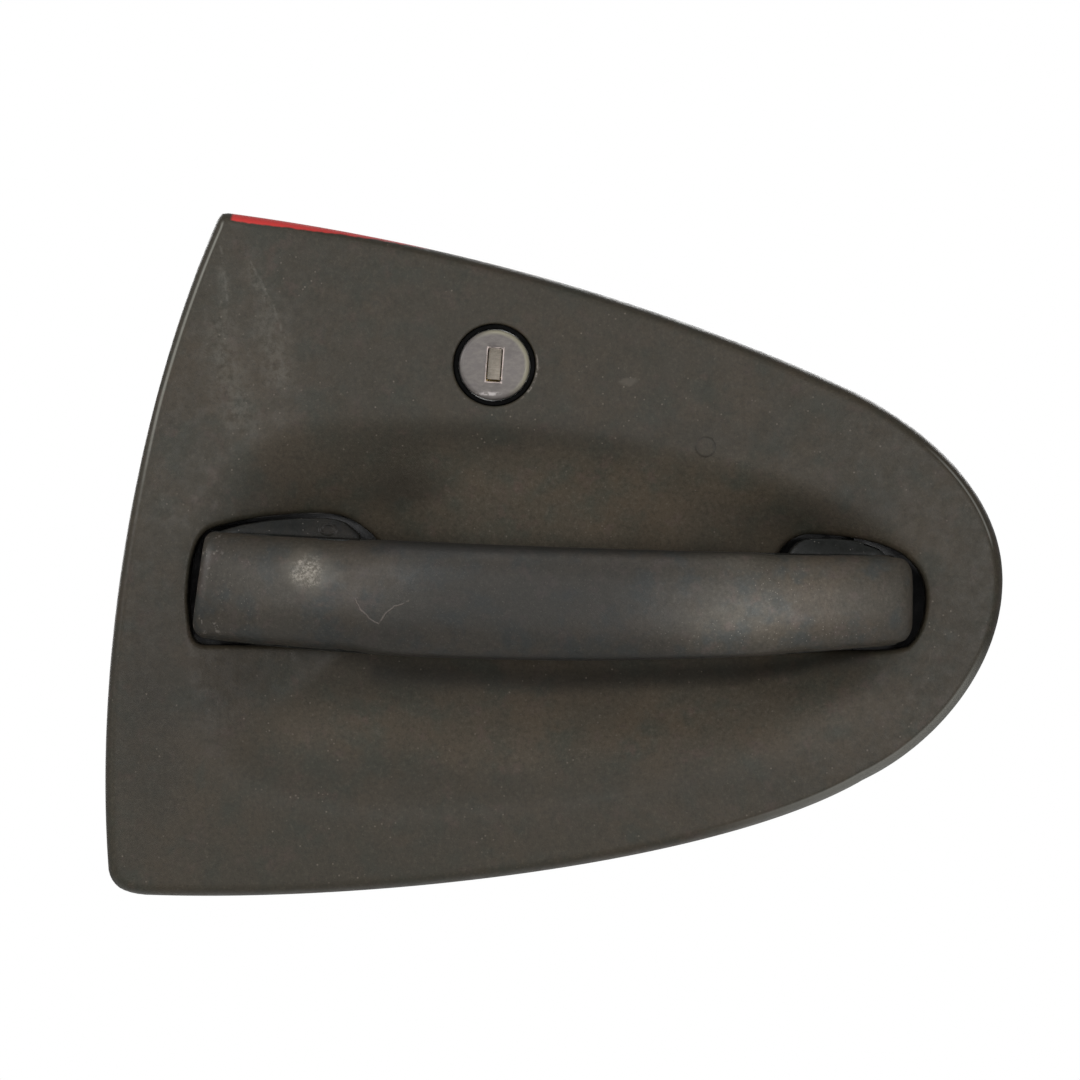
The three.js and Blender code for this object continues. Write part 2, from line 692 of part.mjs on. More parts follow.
// One section of the grip at a share of its length, smaller all round by an inset.
function gripSection(t, shrink, inset, backY) {
  const top = GRIP_TOP.getPoint(t);
  const bottom = GRIP_BOTTOM.getPoint(t);
  const half = ((top.y - bottom.y) / 2) * shrink - inset;
  const drawn = (1 - shrink) * END_DRAW.front;
  const front = gripFront((top.x + bottom.x) / 2) + drawn + inset;
  const depth = (backY - front) / 2;
  const ring = [];
  for (let i = 0; i < GRIP_SIDES; i++) {
    const turn = ((i + 0.5) / GRIP_SIDES) * 2 * Math.PI;
    const [c, s] = [Math.cos(turn), Math.sin(turn)];
    const up = Math.sign(s) * Math.abs(s) ** (2 / GRIP.power) * half;
    const out = Math.sign(c) * Math.abs(c) ** (2 / GRIP.power) * depth;
    const share = (up / half + 1) / 2;
    const x = bottom.x + (top.x - bottom.x) * share;
    ring.push(new THREE.Vector3(x, front + depth + out, (top.y + bottom.y) / 2 + up));
  }
  return ring;
}

function gripBody() {
  const bar = loft(
    GRIP_STATIONS.map(([t, shrink]) => {
      const x = GRIP_TOP.getPoint(t).x;
      return gripSection(t, shrink, 0, gripBack(x) - (1 - shrink) * END_DRAW.back);
    }),
  );
  return bar.subtract(hingeEndSweep());
}

// What the grip's hinge end must leave free, so that it stays in its pocket through the whole pull.
function hingeEndSweep() {
  const room = geometryOf(
    prism("Y", loopShape(offsetLoop(pocketLoop(hingePocket), -PLAY)), -FAR, FAR),
  );
  room.translate(-HINGE.x, -HINGE.y, 0);
  room.rotateZ(-THREE.MathUtils.degToRad(PULL_ANGLE));
  room.translate(HINGE.x, HINGE.y, 0);
  return block(HINGE.x + 6, 110, -14.6, 10, -40, 20).subtract(solid(room));
}

// The hollow inside the cover, open towards the back.
function gripHollow() {
  const stations = GRIP_STATIONS.filter(([t]) => t > 0.03 && t < 0.97);
  return loft(
    stations.map(([t]) => {
      const x = GRIP_TOP.getPoint(t).x;
      return gripSection(t, 1, GRIP.wall, gripFront(x) + 2 * GRIP.part + 8);
    }),
  );
}

// Everything behind a surface that follows the grip's front at a depth, as a prism along Z.
function behindGripFront(depth, stop = 60, xEnd = 110) {
  const shape = new THREE.Shape();
  const steps = 18;
  for (let i = 0; i <= steps; i++) {
    const x = -xEnd + (2 * xEnd * i) / steps;
    const y = gripFront(x) + depth;
    if (i === 0) shape.moveTo(x, y);
    else shape.lineTo(x, y);
  }
  if (stop > 20) {
    shape.lineTo(xEnd, stop);
    shape.lineTo(-xEnd, stop);
  } else {
    for (let i = steps; i >= 0; i--) {
      const x = -xEnd + (2 * xEnd * i) / steps;
      shape.lineTo(x, gripFront(x) + stop);
    }
  }
  return prism("Z", shape, -60, 60);
}

function gripCover(body) {
  const bosses = GRIP_SCREWS.map((x) => {
    const front = gripFront(x);
    return moved(rod("Y", 3.4, front + 1.2, front + GRIP.part - 0.9, 12), x, 0, GRIP_MIDDLE_Z);
  });
  const pilots = GRIP_SCREWS.map((x) =>
    moved(rod("Y", 1.6, gripFront(x) + 3, 10, 8), x, 0, GRIP_MIDDLE_Z),
  );
  return body
    .subtract(behindGripFront(GRIP.part))
    .subtract(gripHollow())
    .add(join(...bosses))
    .subtract(join(...pilots));
}

function gripBase(body) {
  const pullShape = new THREE.Shape()
    .moveTo(-88, -20.5)
    .lineTo(-88, 5.6)
    .lineTo(-81, 7.6)
    .lineTo(-73.5, 8.8)
    .lineTo(-66, 9.35)
    .lineTo(-59, 9.3)
    .lineTo(-54.5, 8.2)
    .lineTo(-50.5, 5)
    .lineTo(-50.5, -20.5);
  const hingeShape = new THREE.Shape()
    .moveTo(59, -4)
    .lineTo(60.4, 0)
    .lineTo(63, 3)
    .lineTo(67, 4.1)
    .lineTo(77, 3.6)
    .lineTo(84, 1.4)
    .lineTo(87, -4);
  const pullFoot = prism("Y", pullShape, FOOT.front, FOOT.pullBack);
  const hingeFoot = prism("Y", hingeShape, FOOT.front, FOOT.hingeBack);
  const { x, y, z0, z1, knuckle: radius } = HINGE;
  const knuckle = join(
    moved(rod("Z", radius, z0, z1), x, y, 0),
    block(x - radius, x + radius, -6, y, z0, z1),
    hingeFoot.subtract(hingeEndSweep()),
  );
  const rear = body.add(join(pullFoot, knuckle)).intersect(behindGripFront(GRIP.part + 0.25));
  const armSocket = block(
    ARM.x - ARM.width / 2 - 0.2,
    ARM.x + ARM.width / 2 + 0.2,
    -12,
    5,
    ARM.z0 - 0.2,
    ARM.z1 + 0.2,
  );
  const rivetBore = moved(rod("Z", RIVET.bore, -22, 12, 10), ARM.x, RIVET.y, 0);
  const pinBore = moved(rod("Z", HINGE.pin + GAP, -FAR, FAR), x, y, 0);
  const screwBore = join(rod("Y", 1.9, -FAR, 10, 10), rod("Y", 3.9, -7, FAR, 12));
  const screwBores = GRIP_SCREWS.map((at) => moved(screwBore, at, 0, GRIP_MIDDLE_Z));
  return rear.subtract(join(armSocket, rivetBore, pinBore, ...screwBores));
}

// The steel strip inside the cover, lying on the base.
function gripStiffener(body) {
  const strip = behindGripFront(GRIP.part - 2.2, GRIP.part - 0.25, 82);
  const band = block(-80, 80, -60, 20, GRIP_MIDDLE_Z - 6, GRIP_MIDDLE_Z + 6);
  const holes = GRIP_SCREWS.map((x) => moved(rod("Y", 4, -60, 20, 12), x, 0, GRIP_MIDDLE_Z));
  return strip.intersect(band).intersect(body).subtract(join(...holes));
}

// The steel arm on the grip's pull end, with the lip that draws the bell crank along.
function pullArm() {
  const side = new THREE.Shape()
    .moveTo(-11.7, ARM.z0)
    .lineTo(ARM.tip, ARM.z0)
    .lineTo(ARM.tip, ARM.lipTop)
    .lineTo(ARM.face, ARM.lipTop)
    .lineTo(ARM.face, ARM.z1)
    .lineTo(-11.7, ARM.z1);
  const bore = moved(rod("Z", RIVET.bore, -22, 12, 10), ARM.x, RIVET.y, 0);
  return prism("X", side, ARM.x - ARM.width / 2, ARM.x + ARM.width / 2).subtract(bore);
}

// ---------------------------------------------------------------- bell crank, about its own pivot

const lean = THREE.MathUtils.degToRad(CRANK.lean);
const fingerTip = [CRANK.reach * Math.sin(lean), -CRANK.reach * Math.cos(lean)];
const ROD_EYE = [21, 8];
const WEIGHT = { x0: -75, x1: -58, y: 1, z: 20, half: 6 };

function bellCrank() {
  const hub = rod("X", 5.2, CRANK.x0, CRANK.x1);
  const finger = prism("X", leverShape(0, 0, 5, ...fingerTip, 2), ARM.x - 2, ARM.x + 2);
  const output = prism("X", leverShape(0, 0, 5, ...ROD_EYE, 4.5), -80.5, -77);
  const post = prism("X", leverShape(0, 0, 5, WEIGHT.y, WEIGHT.z - 4, 3.4), ARM.x - 2, ARM.x + 2);
  const bore = rod("X", CRANK.pin + 0.2, -90, -40);
  const eye = moved(rod("X", 2.9, -90, -70, 12), 0, ...ROD_EYE);
  const weightBore = moved(rod("X", 1.6, -80, -50, 10), 0, WEIGHT.y, WEIGHT.z - 4);
  const springHole = moved(rod("X", 0.9, ARM.x, ARM.x + 4, 8), 0, 3, 9.5);
  return join(hub, finger, output, post).subtract(join(bore, eye, weightBore, springHole));
}

function counterweight() {
  const { x0, x1, y, z, half } = WEIGHT;
  const shape = new THREE.Shape()
    .moveTo(y - half, z - half - 1)
    .lineTo(y + half, z - half - 1)
    .lineTo(y + half, z + half - 3)
    .quadraticCurveTo(y + half, z + half, y + half - 3, z + half)
    .lineTo(y - half + 3, z + half)
    .quadraticCurveTo(y - half, z + half, y - half, z + half - 3);
  const slot = block(ARM.x - 2.3, ARM.x + 2.3, -20, 20, 5, z + 1);
  const bore = moved(rod("X", 1.6, -80, -50, 10), 0, y, z - 4);
  return prism("X", shape, x0, x1).subtract(join(slot, bore));
}

function rodClip() {
  const barrel = pipe("X", 1.3, 2.6, -81.2, -73.5, 14);
  const flange = pipe("X", 1.3, 4.2, -76.7, -75.4, 14);
  return moved(join(barrel, flange), 0, ...ROD_EYE);
}

// A wire that follows points in space, with a round section.
function wire(points, radius, steps) {
  const path = new THREE.CatmullRomCurve3(points);
  const section = new THREE.Shape().absarc(0, 0, radius, 0, 2 * Math.PI, false);
  const options = { steps, extrudePath: path, bevelEnabled: false, curveSegments: 3 };
  return solid(new THREE.ExtrudeGeometry(section, options));
}

// A torsion spring: a coil about an axis, with a straight leg at each end.
function torsionSpring(place, coil, firstLeg, lastLeg) {
  const points = [firstLeg];
  const count = Math.round(coil.turns * 9);
  for (let i = 0; i <= count; i++) {
    const share = i / count;
    const turn = THREE.MathUtils.degToRad(coil.from) + share * coil.turns * 2 * Math.PI;
    points.push(place(coil.radius * Math.cos(turn), coil.radius * Math.sin(turn), share));
  }
  points.push(lastLeg);
  return wire(points, coil.wire, count + 6);
}

function crankSpring() {
  const place = (y, z, share) => new THREE.Vector3(-65.2 + 8.6 * share, y, z);
  const coil = { radius: 6.6, wire: 0.7, turns: 4.05, from: 70 };
  const onCrank = new THREE.Vector3(-65.4, 3, 10.5);
  const onCarrier = new THREE.Vector3(-56.4, CARRIER.back + 1 - CRANK.y, 7);
  return torsionSpring(place, coil, onCrank, onCarrier);
}

// ---------------------------------------------------------------- lock, about its own axis

function lockHousing() {
  const profile = [
    [7.7, -7.9],
    [10.4, -7.9],
    [10.4, -5],
    [9.6, -5],
    [9.6, 20.3],
    [8.8, 20.3],
    [8.8, 21.8],
    [9.6, 21.8],
    [9.6, 31],
    [7.7, 31],
  ];
  return lathe("Y", profile, 22);
}

function lockSeal() {
  return pipe("Y", LOCK.face + 0.25, LOCK.hole - 0.2, -10.6, -8.1, 28);
}

function lockFace() {
  const profile = [
    [0, -12.1],
    [7.6, -12.2],
    [8.6, -12],
    [9.1, -11.4],
    [9.1, -8.2],
    [8.3, -8.2],
    [8.3, -10.9],
    [0, -10.9],
  ];
  const slot = block(-2, 2, -20, 0, -4.4, 4.4);
  return lathe("Y", profile, 28).subtract(slot);
}

const WAFERS = 7;
const waferY = (i) => -0.6 + i * 3.1;

function lockPlug() {
  const profile = [[0, -10.6], [8, -10.6], [8, -8.2], [7.4, -8.2], [7.4, 31.4], [0, 31.4]];
  const tail = block(-2.6, 2.6, 30, 38.2, -2.6, 2.6).subtract(pipe("Y", 2.5, 6, 35.9, 37.1));
  const keyway = block(-2.15, 2.15, -20, 22, -5, 5.05);
  const slots = Array.from({ length: WAFERS }, (_, i) =>
    block(-3.4, 3.4, waferY(i) - 0.85, waferY(i) + 0.85, -8.5, 6.1),
  );
  return lathe("Y", profile, 24).add(tail).subtract(join(keyway, ...slots));
}

// One wafer, with the window that the key goes through at its own height.
function wafer(i) {
  const low = -2.6 + [0.5, -0.4, 0.1, -0.6, 0.4, -0.2, 0.3][i];
  const plate = block(-3.1, 3.1, -0.55, 0.55, -6.2, 5.7);
  return plate.subtract(block(-1.7, 1.7, -2, 2, low, low + 6.4));
}

// The dust shutter behind the key slot. Its own origin is on its hinge, at its top edge.
function shutter() {
  const flap = block(-1.75, 1.75, -0.45, 0.25, -8, -0.1);
  return join(flap, rod("X", 0.55, -1.75, 1.75, 8));
}

function lockCam() {
  const lever = leverShape(0, 0, 7, 12, -15, 4.5);
  lever.holes.push(circleHole(12, -15, 1.8));
  const square = new THREE.Path()
    .moveTo(-2.8, -2.8)
    .lineTo(-2.8, 2.8)
    .lineTo(2.8, 2.8)
    .lineTo(2.8, -2.8);
  lever.holes.push(square);
  return prism("Y", lever, 33.4, 35.8, 8);
}

function returnSpring() {
  const place = (x, z, share) => new THREE.Vector3(x, 24.2 + 5.6 * share, z);
  const coil = { radius: 10.9, wire: 0.6, turns: 3.5, from: -60 };
  const first = new THREE.Vector3(2, 24.1, -14.5);
  const last = new THREE.Vector3(-2, 32.4, 15.5);
  return torsionSpring(place, coil, first, last);
}

// The clip that goes into the housing's groove, behind the carrier.
function housingClip() {
  const shape = new THREE.Shape()
    .moveTo(-13.5, 15.5)
    .lineTo(13.5, 15.5)
    .lineTo(12.4, -7)
    .lineTo(9.1, -7)
    .lineTo(9.1, 0);
  shape.absarc(0, 0, 9.1, 0, Math.PI, false);
  shape.lineTo(-9.1, -7);
  shape.lineTo(-12.4, -7);
  return prism("Y", shape, 20.5, 21.6, 12);
}

// ---------------------------------------------------------------- assembly

const handle = new THREE.Group();

function piece(parent, name, shape, material, position = [0, 0, 0]) {
  const mesh = new THREE.Mesh(geometryOf(shape), material);
  mesh.name = name;
  mesh.position.set(...position);
  parent.add(mesh);
  return mesh;
}

function groupAt(x, y, z) {
  const group = new THREE.Group();
  group.position.set(x, y, z);
  handle.add(group);
  return group;
}

function addPanel() {
  piece(handle, "panel", panel(), MATERIAL.panel);
  piece(handle, "panel_gasket", gasket(), MATERIAL.rubber);
  piece(handle, "carrier", carrier(), MATERIAL.frame);
  const screw = screwSolid(3.8, 1.4, 12.4);
  PANEL_SCREWS.forEach(([x, z], i) => {
    const seat = [x, CARRIER.back + 0.1, z];
    piece(handle, `carrier_screw_${i + 1}`, screw, MATERIAL.steel, seat);
  });
  const stud = studSolid();
  STUDS.forEach(([x, z], i) =>
    piece(handle, `mounting_stud_${i + 1}`, stud, MATERIAL.steel, [x, 0, z]),
  );
  const stop = rod("Y", 4, GAP, CARRIER.front - 0.1, 14);
  [-84, -55].forEach((x, i) =>
    piece(handle, `bump_stop_${i + 1}`, stop, MATERIAL.rubber, [x, 0, -2]),
  );
}

function addHinge() {
  const hinge = groupAt(HINGE.x, HINGE.y, 0);
  const pin = lathe("Z", [
    [0, -26.6],
    [HINGE.pin, -26.6],
    [HINGE.pin, -25.4],
    [1.5, -25.4],
    [1.5, -24.5],
    [HINGE.pin, -24.5],
    [HINGE.pin, 1.9],
    [3.4, 1.9],
    [3.4, 3.2],
    [0, 3.2],
  ]);
  piece(hinge, "hinge_pin", pin, MATERIAL.steel);
  piece(hinge, "hinge_pin_clip", prism("Z", openRing(1.6, 3.6, 80, 90), -25.3, -24.6), MATERIAL.spring);
  const bush = pipe("Z", HINGE.pin + 0.15, 2.98, 0, 3.6);
  piece(hinge, "hinge_bush_upper", bush, MATERIAL.bush, [0, 0, HINGE.z1 + 0.8]);
  piece(hinge, "hinge_bush_lower", bush, MATERIAL.bush, [0, 0, HINGE.z0 - 4.4]);
}

function addGrip() {
  const body = gripBody();
  piece(handle, "grip_cover", gripCover(body), MATERIAL.grip);
  piece(handle, "grip_base", gripBase(body), MATERIAL.grip);
  piece(handle, "grip_stiffener", gripStiffener(body), MATERIAL.steel);
  const screw = screwSolid(3.2, 1.4, 14);
  GRIP_SCREWS.forEach((x, i) => {
    piece(handle, `grip_screw_${i + 1}`, screw, MATERIAL.steel, [x, -6.8, GRIP_MIDDLE_Z]);
  });
  piece(handle, "pull_arm", pullArm(), MATERIAL.steel);
  const rivet = rod("Z", RIVET.radius, -20, 8, 10);
  piece(handle, "pull_arm_rivet", rivet, MATERIAL.steel, [ARM.x, RIVET.y, 0]);
}

function addCrank() {
  const crank = groupAt(0, CRANK.y, CRANK.z);
  piece(crank, "bell_crank", bellCrank(), MATERIAL.zinc);
  piece(crank, "counterweight", counterweight(), MATERIAL.zinc);
  const rivet = rod("X", 1.4, WEIGHT.x0 - 0.8, WEIGHT.x1 + 0.8, 10);
  piece(crank, "counterweight_rivet", rivet, MATERIAL.steel, [0, WEIGHT.y, WEIGHT.z - 4]);
  piece(crank, "latch_rod_clip", rodClip(), MATERIAL.clip);
  const pin = lathe("X", [
    [0, -88.4],
    [CRANK.pin, -88.4],
    [CRANK.pin, -87.2],
    [1.9, -87.2],
    [1.9, -86.3],
    [CRANK.pin, -86.3],
    [CRANK.pin, -50.2],
    [4, -50.2],
    [4, -48.8],
    [0, -48.8],
  ]);
  piece(crank, "crank_pin", pin, MATERIAL.steel);
  piece(crank, "crank_pin_clip", prism("X", openRing(2, 4.2, 80, 0), -87.1, -86.4), MATERIAL.spring);
  piece(crank, "crank_spring", crankSpring(), MATERIAL.spring);
}

function addLock() {
  const lock = groupAt(LOCK.x, 0, LOCK.z);
  piece(lock, "lock_housing", lockHousing(), MATERIAL.zinc);
  piece(lock, "lock_seal", lockSeal(), MATERIAL.rubber);
  piece(lock, "lock_housing_clip", housingClip(), MATERIAL.spring);
  piece(lock, "lock_return_spring", returnSpring(), MATERIAL.spring);
  const plug = groupAt(LOCK.x, 0, LOCK.z);
  plug.rotation.y = THREE.MathUtils.degToRad(LOCK.tilt);
  piece(plug, "lock_plug", lockPlug(), MATERIAL.zinc);
  piece(plug, "lock_face", lockFace(), MATERIAL.lockFace);
  for (let i = 0; i < WAFERS; i++) {
    piece(plug, `lock_wafer_${i + 1}`, wafer(i), MATERIAL.brass, [0, waferY(i), 0]);
  }
  piece(plug, "lock_cam", lockCam(), MATERIAL.zinc);
  const camClip = prism("Y", openRing(2.75, 5.6, 70, -90), 36.1, 36.9);
  piece(plug, "lock_cam_clip", camClip, MATERIAL.spring);
  piece(plug, "key_shutter", shutter(), MATERIAL.lockFace, [0, -10, 4.2]);
}

addPanel();
addHinge();
addGrip();
addCrank();
addLock();

export default handle;
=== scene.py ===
"""Exterior car door handle: the finished looks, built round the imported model.

Lengths are millimetres in the row frame (+X to the front of the car, +Y into the door, +Z up)
and are turned into metres where a mesh, a mark or a lamp is made.
"""
import functools
import math

import bmesh
import bpy
import numpy as np
from mathutils import Matrix, Vector
from mathutils.geometry import delaunay_2d_cdt


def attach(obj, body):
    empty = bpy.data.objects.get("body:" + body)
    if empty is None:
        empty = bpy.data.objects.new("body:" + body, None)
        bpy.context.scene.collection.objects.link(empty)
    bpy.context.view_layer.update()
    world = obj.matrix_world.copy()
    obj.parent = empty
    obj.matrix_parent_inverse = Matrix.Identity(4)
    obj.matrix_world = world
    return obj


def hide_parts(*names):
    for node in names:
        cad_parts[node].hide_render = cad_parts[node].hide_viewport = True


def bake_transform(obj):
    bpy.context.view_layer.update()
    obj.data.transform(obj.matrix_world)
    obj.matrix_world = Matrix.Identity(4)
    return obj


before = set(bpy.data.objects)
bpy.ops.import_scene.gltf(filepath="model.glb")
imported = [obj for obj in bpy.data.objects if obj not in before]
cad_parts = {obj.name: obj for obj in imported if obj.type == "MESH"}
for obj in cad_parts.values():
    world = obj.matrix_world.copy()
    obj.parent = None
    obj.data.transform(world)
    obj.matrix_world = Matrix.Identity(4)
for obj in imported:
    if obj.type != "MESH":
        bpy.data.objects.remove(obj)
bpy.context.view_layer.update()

MM = 0.001
ROOT = "handle_body"

# ---------------------------------------------------------------- sizes that the CAD model also has

RIM_Y = -1.9  # the panel's back edge
PANEL = {"wall": 2.6, "rim_width": 3.2, "rim_power": 2.5, "level": 9.0, "crown": 3.5, "flat": 4.0}
RECESS = {"depth": 17.0, "power": 1.15, "soft": 2.4}
SPINE = {"x0": -38.0, "x1": 44.0, "z": -13.0}
CENTRE = np.array([0.0, -14.0])
SLEEVE_THICK = 1.8
PULL_SLEEVE_Y = 5.6
HINGE_SLEEVE_Y = 1.0
LOCK = {"x": -15.7, "z": 49.0, "tilt": 4.3, "hole": 10.7, "bore": 9.95, "tube": 12.8}
LIP = 1.3  # radius of the rolled edges of the two pockets
LOCK_LIP = 0.6  # and of the edge of the lock's hole
SLACK = 1e-4  # a point this near an opening's edge counts as on it

OUTLINE = [
    [(-85, 88.7), (-29.2, 81.3), (26, 66), (75.4, 43.4)],
    [(75.4, 43.4), (94.4, 34.5), (116.5, 17.2), (116.5, -6.8)],
    [(116.5, -6.8), (116.5, -29.1), (99.4, -49.7), (80.1, -58.8)],
    [(80.1, -58.8), (44.2, -79.9), (-45.5, -90.9), (-106.6, -88.7)],
    [(-106.6, -88.7), (-115.4, -88.2), (-116.2, -82.2)],
    [(-116.2, -82.2), (-120.3, -28.3), (-109.2, 39), (-87.6, 87.4)],
    [(-87.6, 87.4), (-87, 89), (-85, 88.7)],
]
RECESS_EDGE = [
    [(-95.7, -12), (-95.7, 36.9), (-61.2, 34.6), (-35.1, 34.6)],
    [(-35.1, 34.6), (6.6, 34.6), (96.5, 18.3), (96.5, -9.4)],
    [(96.5, -9.4), (96.5, -55.5), (-5.4, -67.1), (-29.9, -67.1)],
    [(-29.9, -67.1), (-96.1, -67.1), (-95.7, -52.4), (-95.7, -12)],
]
PULL_POCKET = [
    [(-94.6, -20), (-95.4, -12)],
    [(-95.4, -12), (-95, 5.5), (-88.5, 7)],
    [(-88.5, 7), (-74, 11.2), (-58, 10.4)],
    [(-58, 10.4), (-53, 10), (-47.5, 5)],
    [(-47.5, 5), (-45, 2), (-45, -2)],
    [(-45, -2), (-45, -20)],
    [(-45, -20), (-45, -23.5), (-49, -23.8)],
    [(-49, -23.8), (-91, -23.6)],
    [(-91, -23.6), (-94.2, -23.4), (-94.6, -20)],
]
HINGE_POCKET = [
    [(57, -3), (60, 5.4), (67, 5.2)],
    [(67, 5.2), (84, 4.5), (91, -0.5)],
    [(91, -0.5), (96.8, -5), (96.4, -12.5)],
    [(96.4, -12.5), (96, -20.5), (91.5, -24)],
    [(91.5, -24), (88, -25), (84, -25)],
    [(84, -25), (62, -25)],
    [(62, -25), (57, -25), (57, -20)],
    [(57, -20), (57, -3)],
]
GRIP_TOP = [(-91, 6.2), (-30.4, 2.6), (29.4, 0.5), (92.5, -0.3)]
GRIP_BOTTOM = [(-93.9, -21.6), (-33.6, -29.3), (41.2, -28.9), (92.5, -23.1)]
GRIP = {"rise": 13.0, "end_y": -17.0, "thick": 13.0, "part": 7.5, "wall": 2.3, "power": 2.8}

# ---------------------------------------------------------------- curves in the plane


def bezier(points, count):
    """count + 1 points along one Bezier segment of any degree."""
    t = np.linspace(0, 1, count + 1)[:, None]
    layer = [np.array(p, float)[None, :] for p in points]
    while len(layer) > 1:
        layer = [a * (1 - t) + b * t for a, b in zip(layer, layer[1:])]
    return layer[0]


def closed_loop(segments, step):
    """Points round a closed run of Bezier segments, about a step apart."""
    parts = []
    for segment in segments:
        rough = bezier(segment, 12)
        length = np.linalg.norm(np.diff(rough, axis=0), axis=1).sum()
        parts.append(bezier(segment, max(2, round(length / step)))[:-1])
    return np.vstack(parts)


def circle(x, z, r, sides):
    turn = np.arange(sides) / sides * 2 * math.pi
    return np.c_[x + r * np.cos(turn), z + r * np.sin(turn)]


def turns_left(loop):
    after = np.roll(loop, -1, axis=0)
    return np.sum(loop[:, 0] * after[:, 1] - after[:, 0] * loop[:, 1]) > 0


def offset(loop, distance):
    """A smooth closed loop moved outwards."""
    along = np.roll(loop, -1, axis=0) - np.roll(loop, 1, axis=0)
    along /= np.linalg.norm(along, axis=1)[:, None]
    normal = np.c_[along[:, 1], -along[:, 0]]
    return loop + normal * distance * (1 if turns_left(loop) else -1)


def distance(points, loop):
    """Distance of each point to a closed loop."""
    best = np.full(len(points), np.inf)
    for a, b in zip(loop, np.roll(loop, -1, axis=0)):
        d = b - a
        t = np.clip(((points - a) @ d) / max(d @ d, 1e-12), 0, 1)
        best = np.minimum(best, np.linalg.norm(points - a - t[:, None] * d, axis=1))
    return best


def inside(points, loop):
    result = np.zeros(len(points), bool)
    x, z = points[:, 0], points[:, 1]
    for (ax, az), (bx, bz) in zip(loop, np.roll(loop, -1, axis=0)):
        if az == bz:
            continue
        crosses = ((az > z) != (bz > z)) & (x < (bx - ax) * (z - az) / (bz - az) + ax)
        result ^= crosses
    return result


def smoothstep(x, low, high):
    t = np.clip((np.asarray(x, float) - low) / (high - low), 0, 1)
    return t * t * (3 - 2 * t)


outline_loop = closed_loop(OUTLINE, 1.6)
outline_fine = closed_loop(OUTLINE, 2.2)
recess_loop = closed_loop(RECESS_EDGE, 3.0)
pull_hole = closed_loop(PULL_POCKET, 1.2)
hinge_hole = closed_loop(HINGE_POCKET, 1.2)
lock_hole = circle(LOCK["x"], LOCK["z"], LOCK["hole"], 72)


def inset_loop(inset):
    """The outline moved inwards, with its points on the same rays from the centre."""
    if inset == 0:
        return outline_loop.copy()
    rays = outline_loop - CENTRE
    low, high = np.zeros(len(rays)), np.ones(len(rays))
    for _ in range(22):
        middle = (low + high) / 2
        deep = distance(CENTRE + rays * middle[:, None], outline_fine) > inset
        low, high = np.where(deep, middle, low), np.where(deep, high, middle)
    return CENTRE + rays * low[:, None]


# ---------------------------------------------------------------- the panel's surface


def crease_x(z):
    upper = -66.5 - 0.0072 * (z - 38) ** 2
    lower = np.maximum(-66.5 - 0.85 * (38 - z), -94)
    return np.where(z > 38, upper, lower)


def face_y(x, z):
    """The face before the recess is sunk into it."""
    crown = PANEL["crown"] * (1 - (x / 125) ** 2) * (1 - (z / 100) ** 2)
    beyond = crease_x(z) - x
    width = (beyond + np.hypot(beyond, 2.2)) / 2
    steep = 0.05 + 0.08 * smoothstep(z, -30, 30)
    return -PANEL["level"] - crown + steep * width


def recess_share(points):
    to_edge = distance(points, recess_loop) * np.where(inside(points, recess_loop), 1, -1)
    soft = RECESS["soft"]
    to_edge = (to_edge + np.hypot(to_edge, soft)) / 2 - 0.04 * soft
    to_edge = np.maximum(to_edge, 0)
    near_x = np.clip(points[:, 0], SPINE["x0"], SPINE["x1"])
    to_spine = np.hypot(points[:, 0] - near_x, points[:, 1] - SPINE["z"])
    return np.sin(math.pi / 2 * to_edge / (to_edge + to_spine)) ** RECESS["power"]


def surface_y(points):
    return face_y(points[:, 0], points[:, 1]) + RECESS["depth"] * recess_share(points)


def front_y(points):
    """The finished front, with the rolled lips of its openings."""
    y = surface_y(points)
    for hole, lip in ((pull_hole, LIP), (hinge_hole, LIP), (lock_hole, LOCK_LIP)):
        d = np.clip(distance(points, hole) - SLACK, 0, lip)
        y += lip - np.sqrt(lip**2 - (lip - d) ** 2)
    return y


# ---------------------------------------------------------------- meshes


class Builder:
    """Collects points and faces in millimetres, then makes one object of them."""

    def __init__(self):
        self.points, self.faces = [], []

    def ring(self, xyz):
        start = len(self.points)
        self.points += [tuple(p) for p in xyz]
        return list(range(start, start + len(xyz)))

    def strip(self, a, b):
        for i in range(len(a)):
            j = (i + 1) % len(a)
            self.faces.append((a[i], a[j], b[j], b[i]))

    def loft(self, rings, caps=True):
        rows = [self.ring(r) for r in rings]
        for a, b in zip(rows, rows[1:]):
            self.strip(a, b)
        if caps:
            self.faces.append(tuple(reversed(rows[0])))
            self.faces.append(tuple(rows[-1]))
        return rows

    def made(self, name, sharp=38, weld=2e-3):
        mesh = bpy.data.meshes.new(name)
        mesh.from_pydata([tuple(c * MM for c in p) for p in self.points], [], self.faces)
        piece = bpy.data.objects.new(name, mesh)
        bpy.context.scene.collection.objects.link(piece)
        tidy(piece, sharp, weld)
        return piece


def tidy(piece, sharp=38, weld=2e-3):
    """Welds a mesh, turns its faces outwards and shades it smooth between its sharp edges."""
    bm = bmesh.new()
    bm.from_mesh(piece.data)
    bmesh.ops.remove_doubles(bm, verts=bm.verts, dist=weld * MM)
    bmesh.ops.dissolve_degenerate(bm, edges=bm.edges, dist=1e-8)
    bmesh.ops.recalc_face_normals(bm, faces=bm.faces)
    limit = math.radians(sharp)
    for face in bm.faces:
        face.smooth = True
    for edge in bm.edges:
        edge.smooth = len(edge.link_faces) == 2 and edge.calc_face_angle(0) < limit
    bm.to_mesh(piece.data)
    bm.free()


def apply_modifiers(piece):
    graph = bpy.context.evaluated_depsgraph_get()
    mesh = bpy.data.meshes.new_from_object(piece.evaluated_get(graph))
    piece.modifiers.clear()
    piece.data = mesh


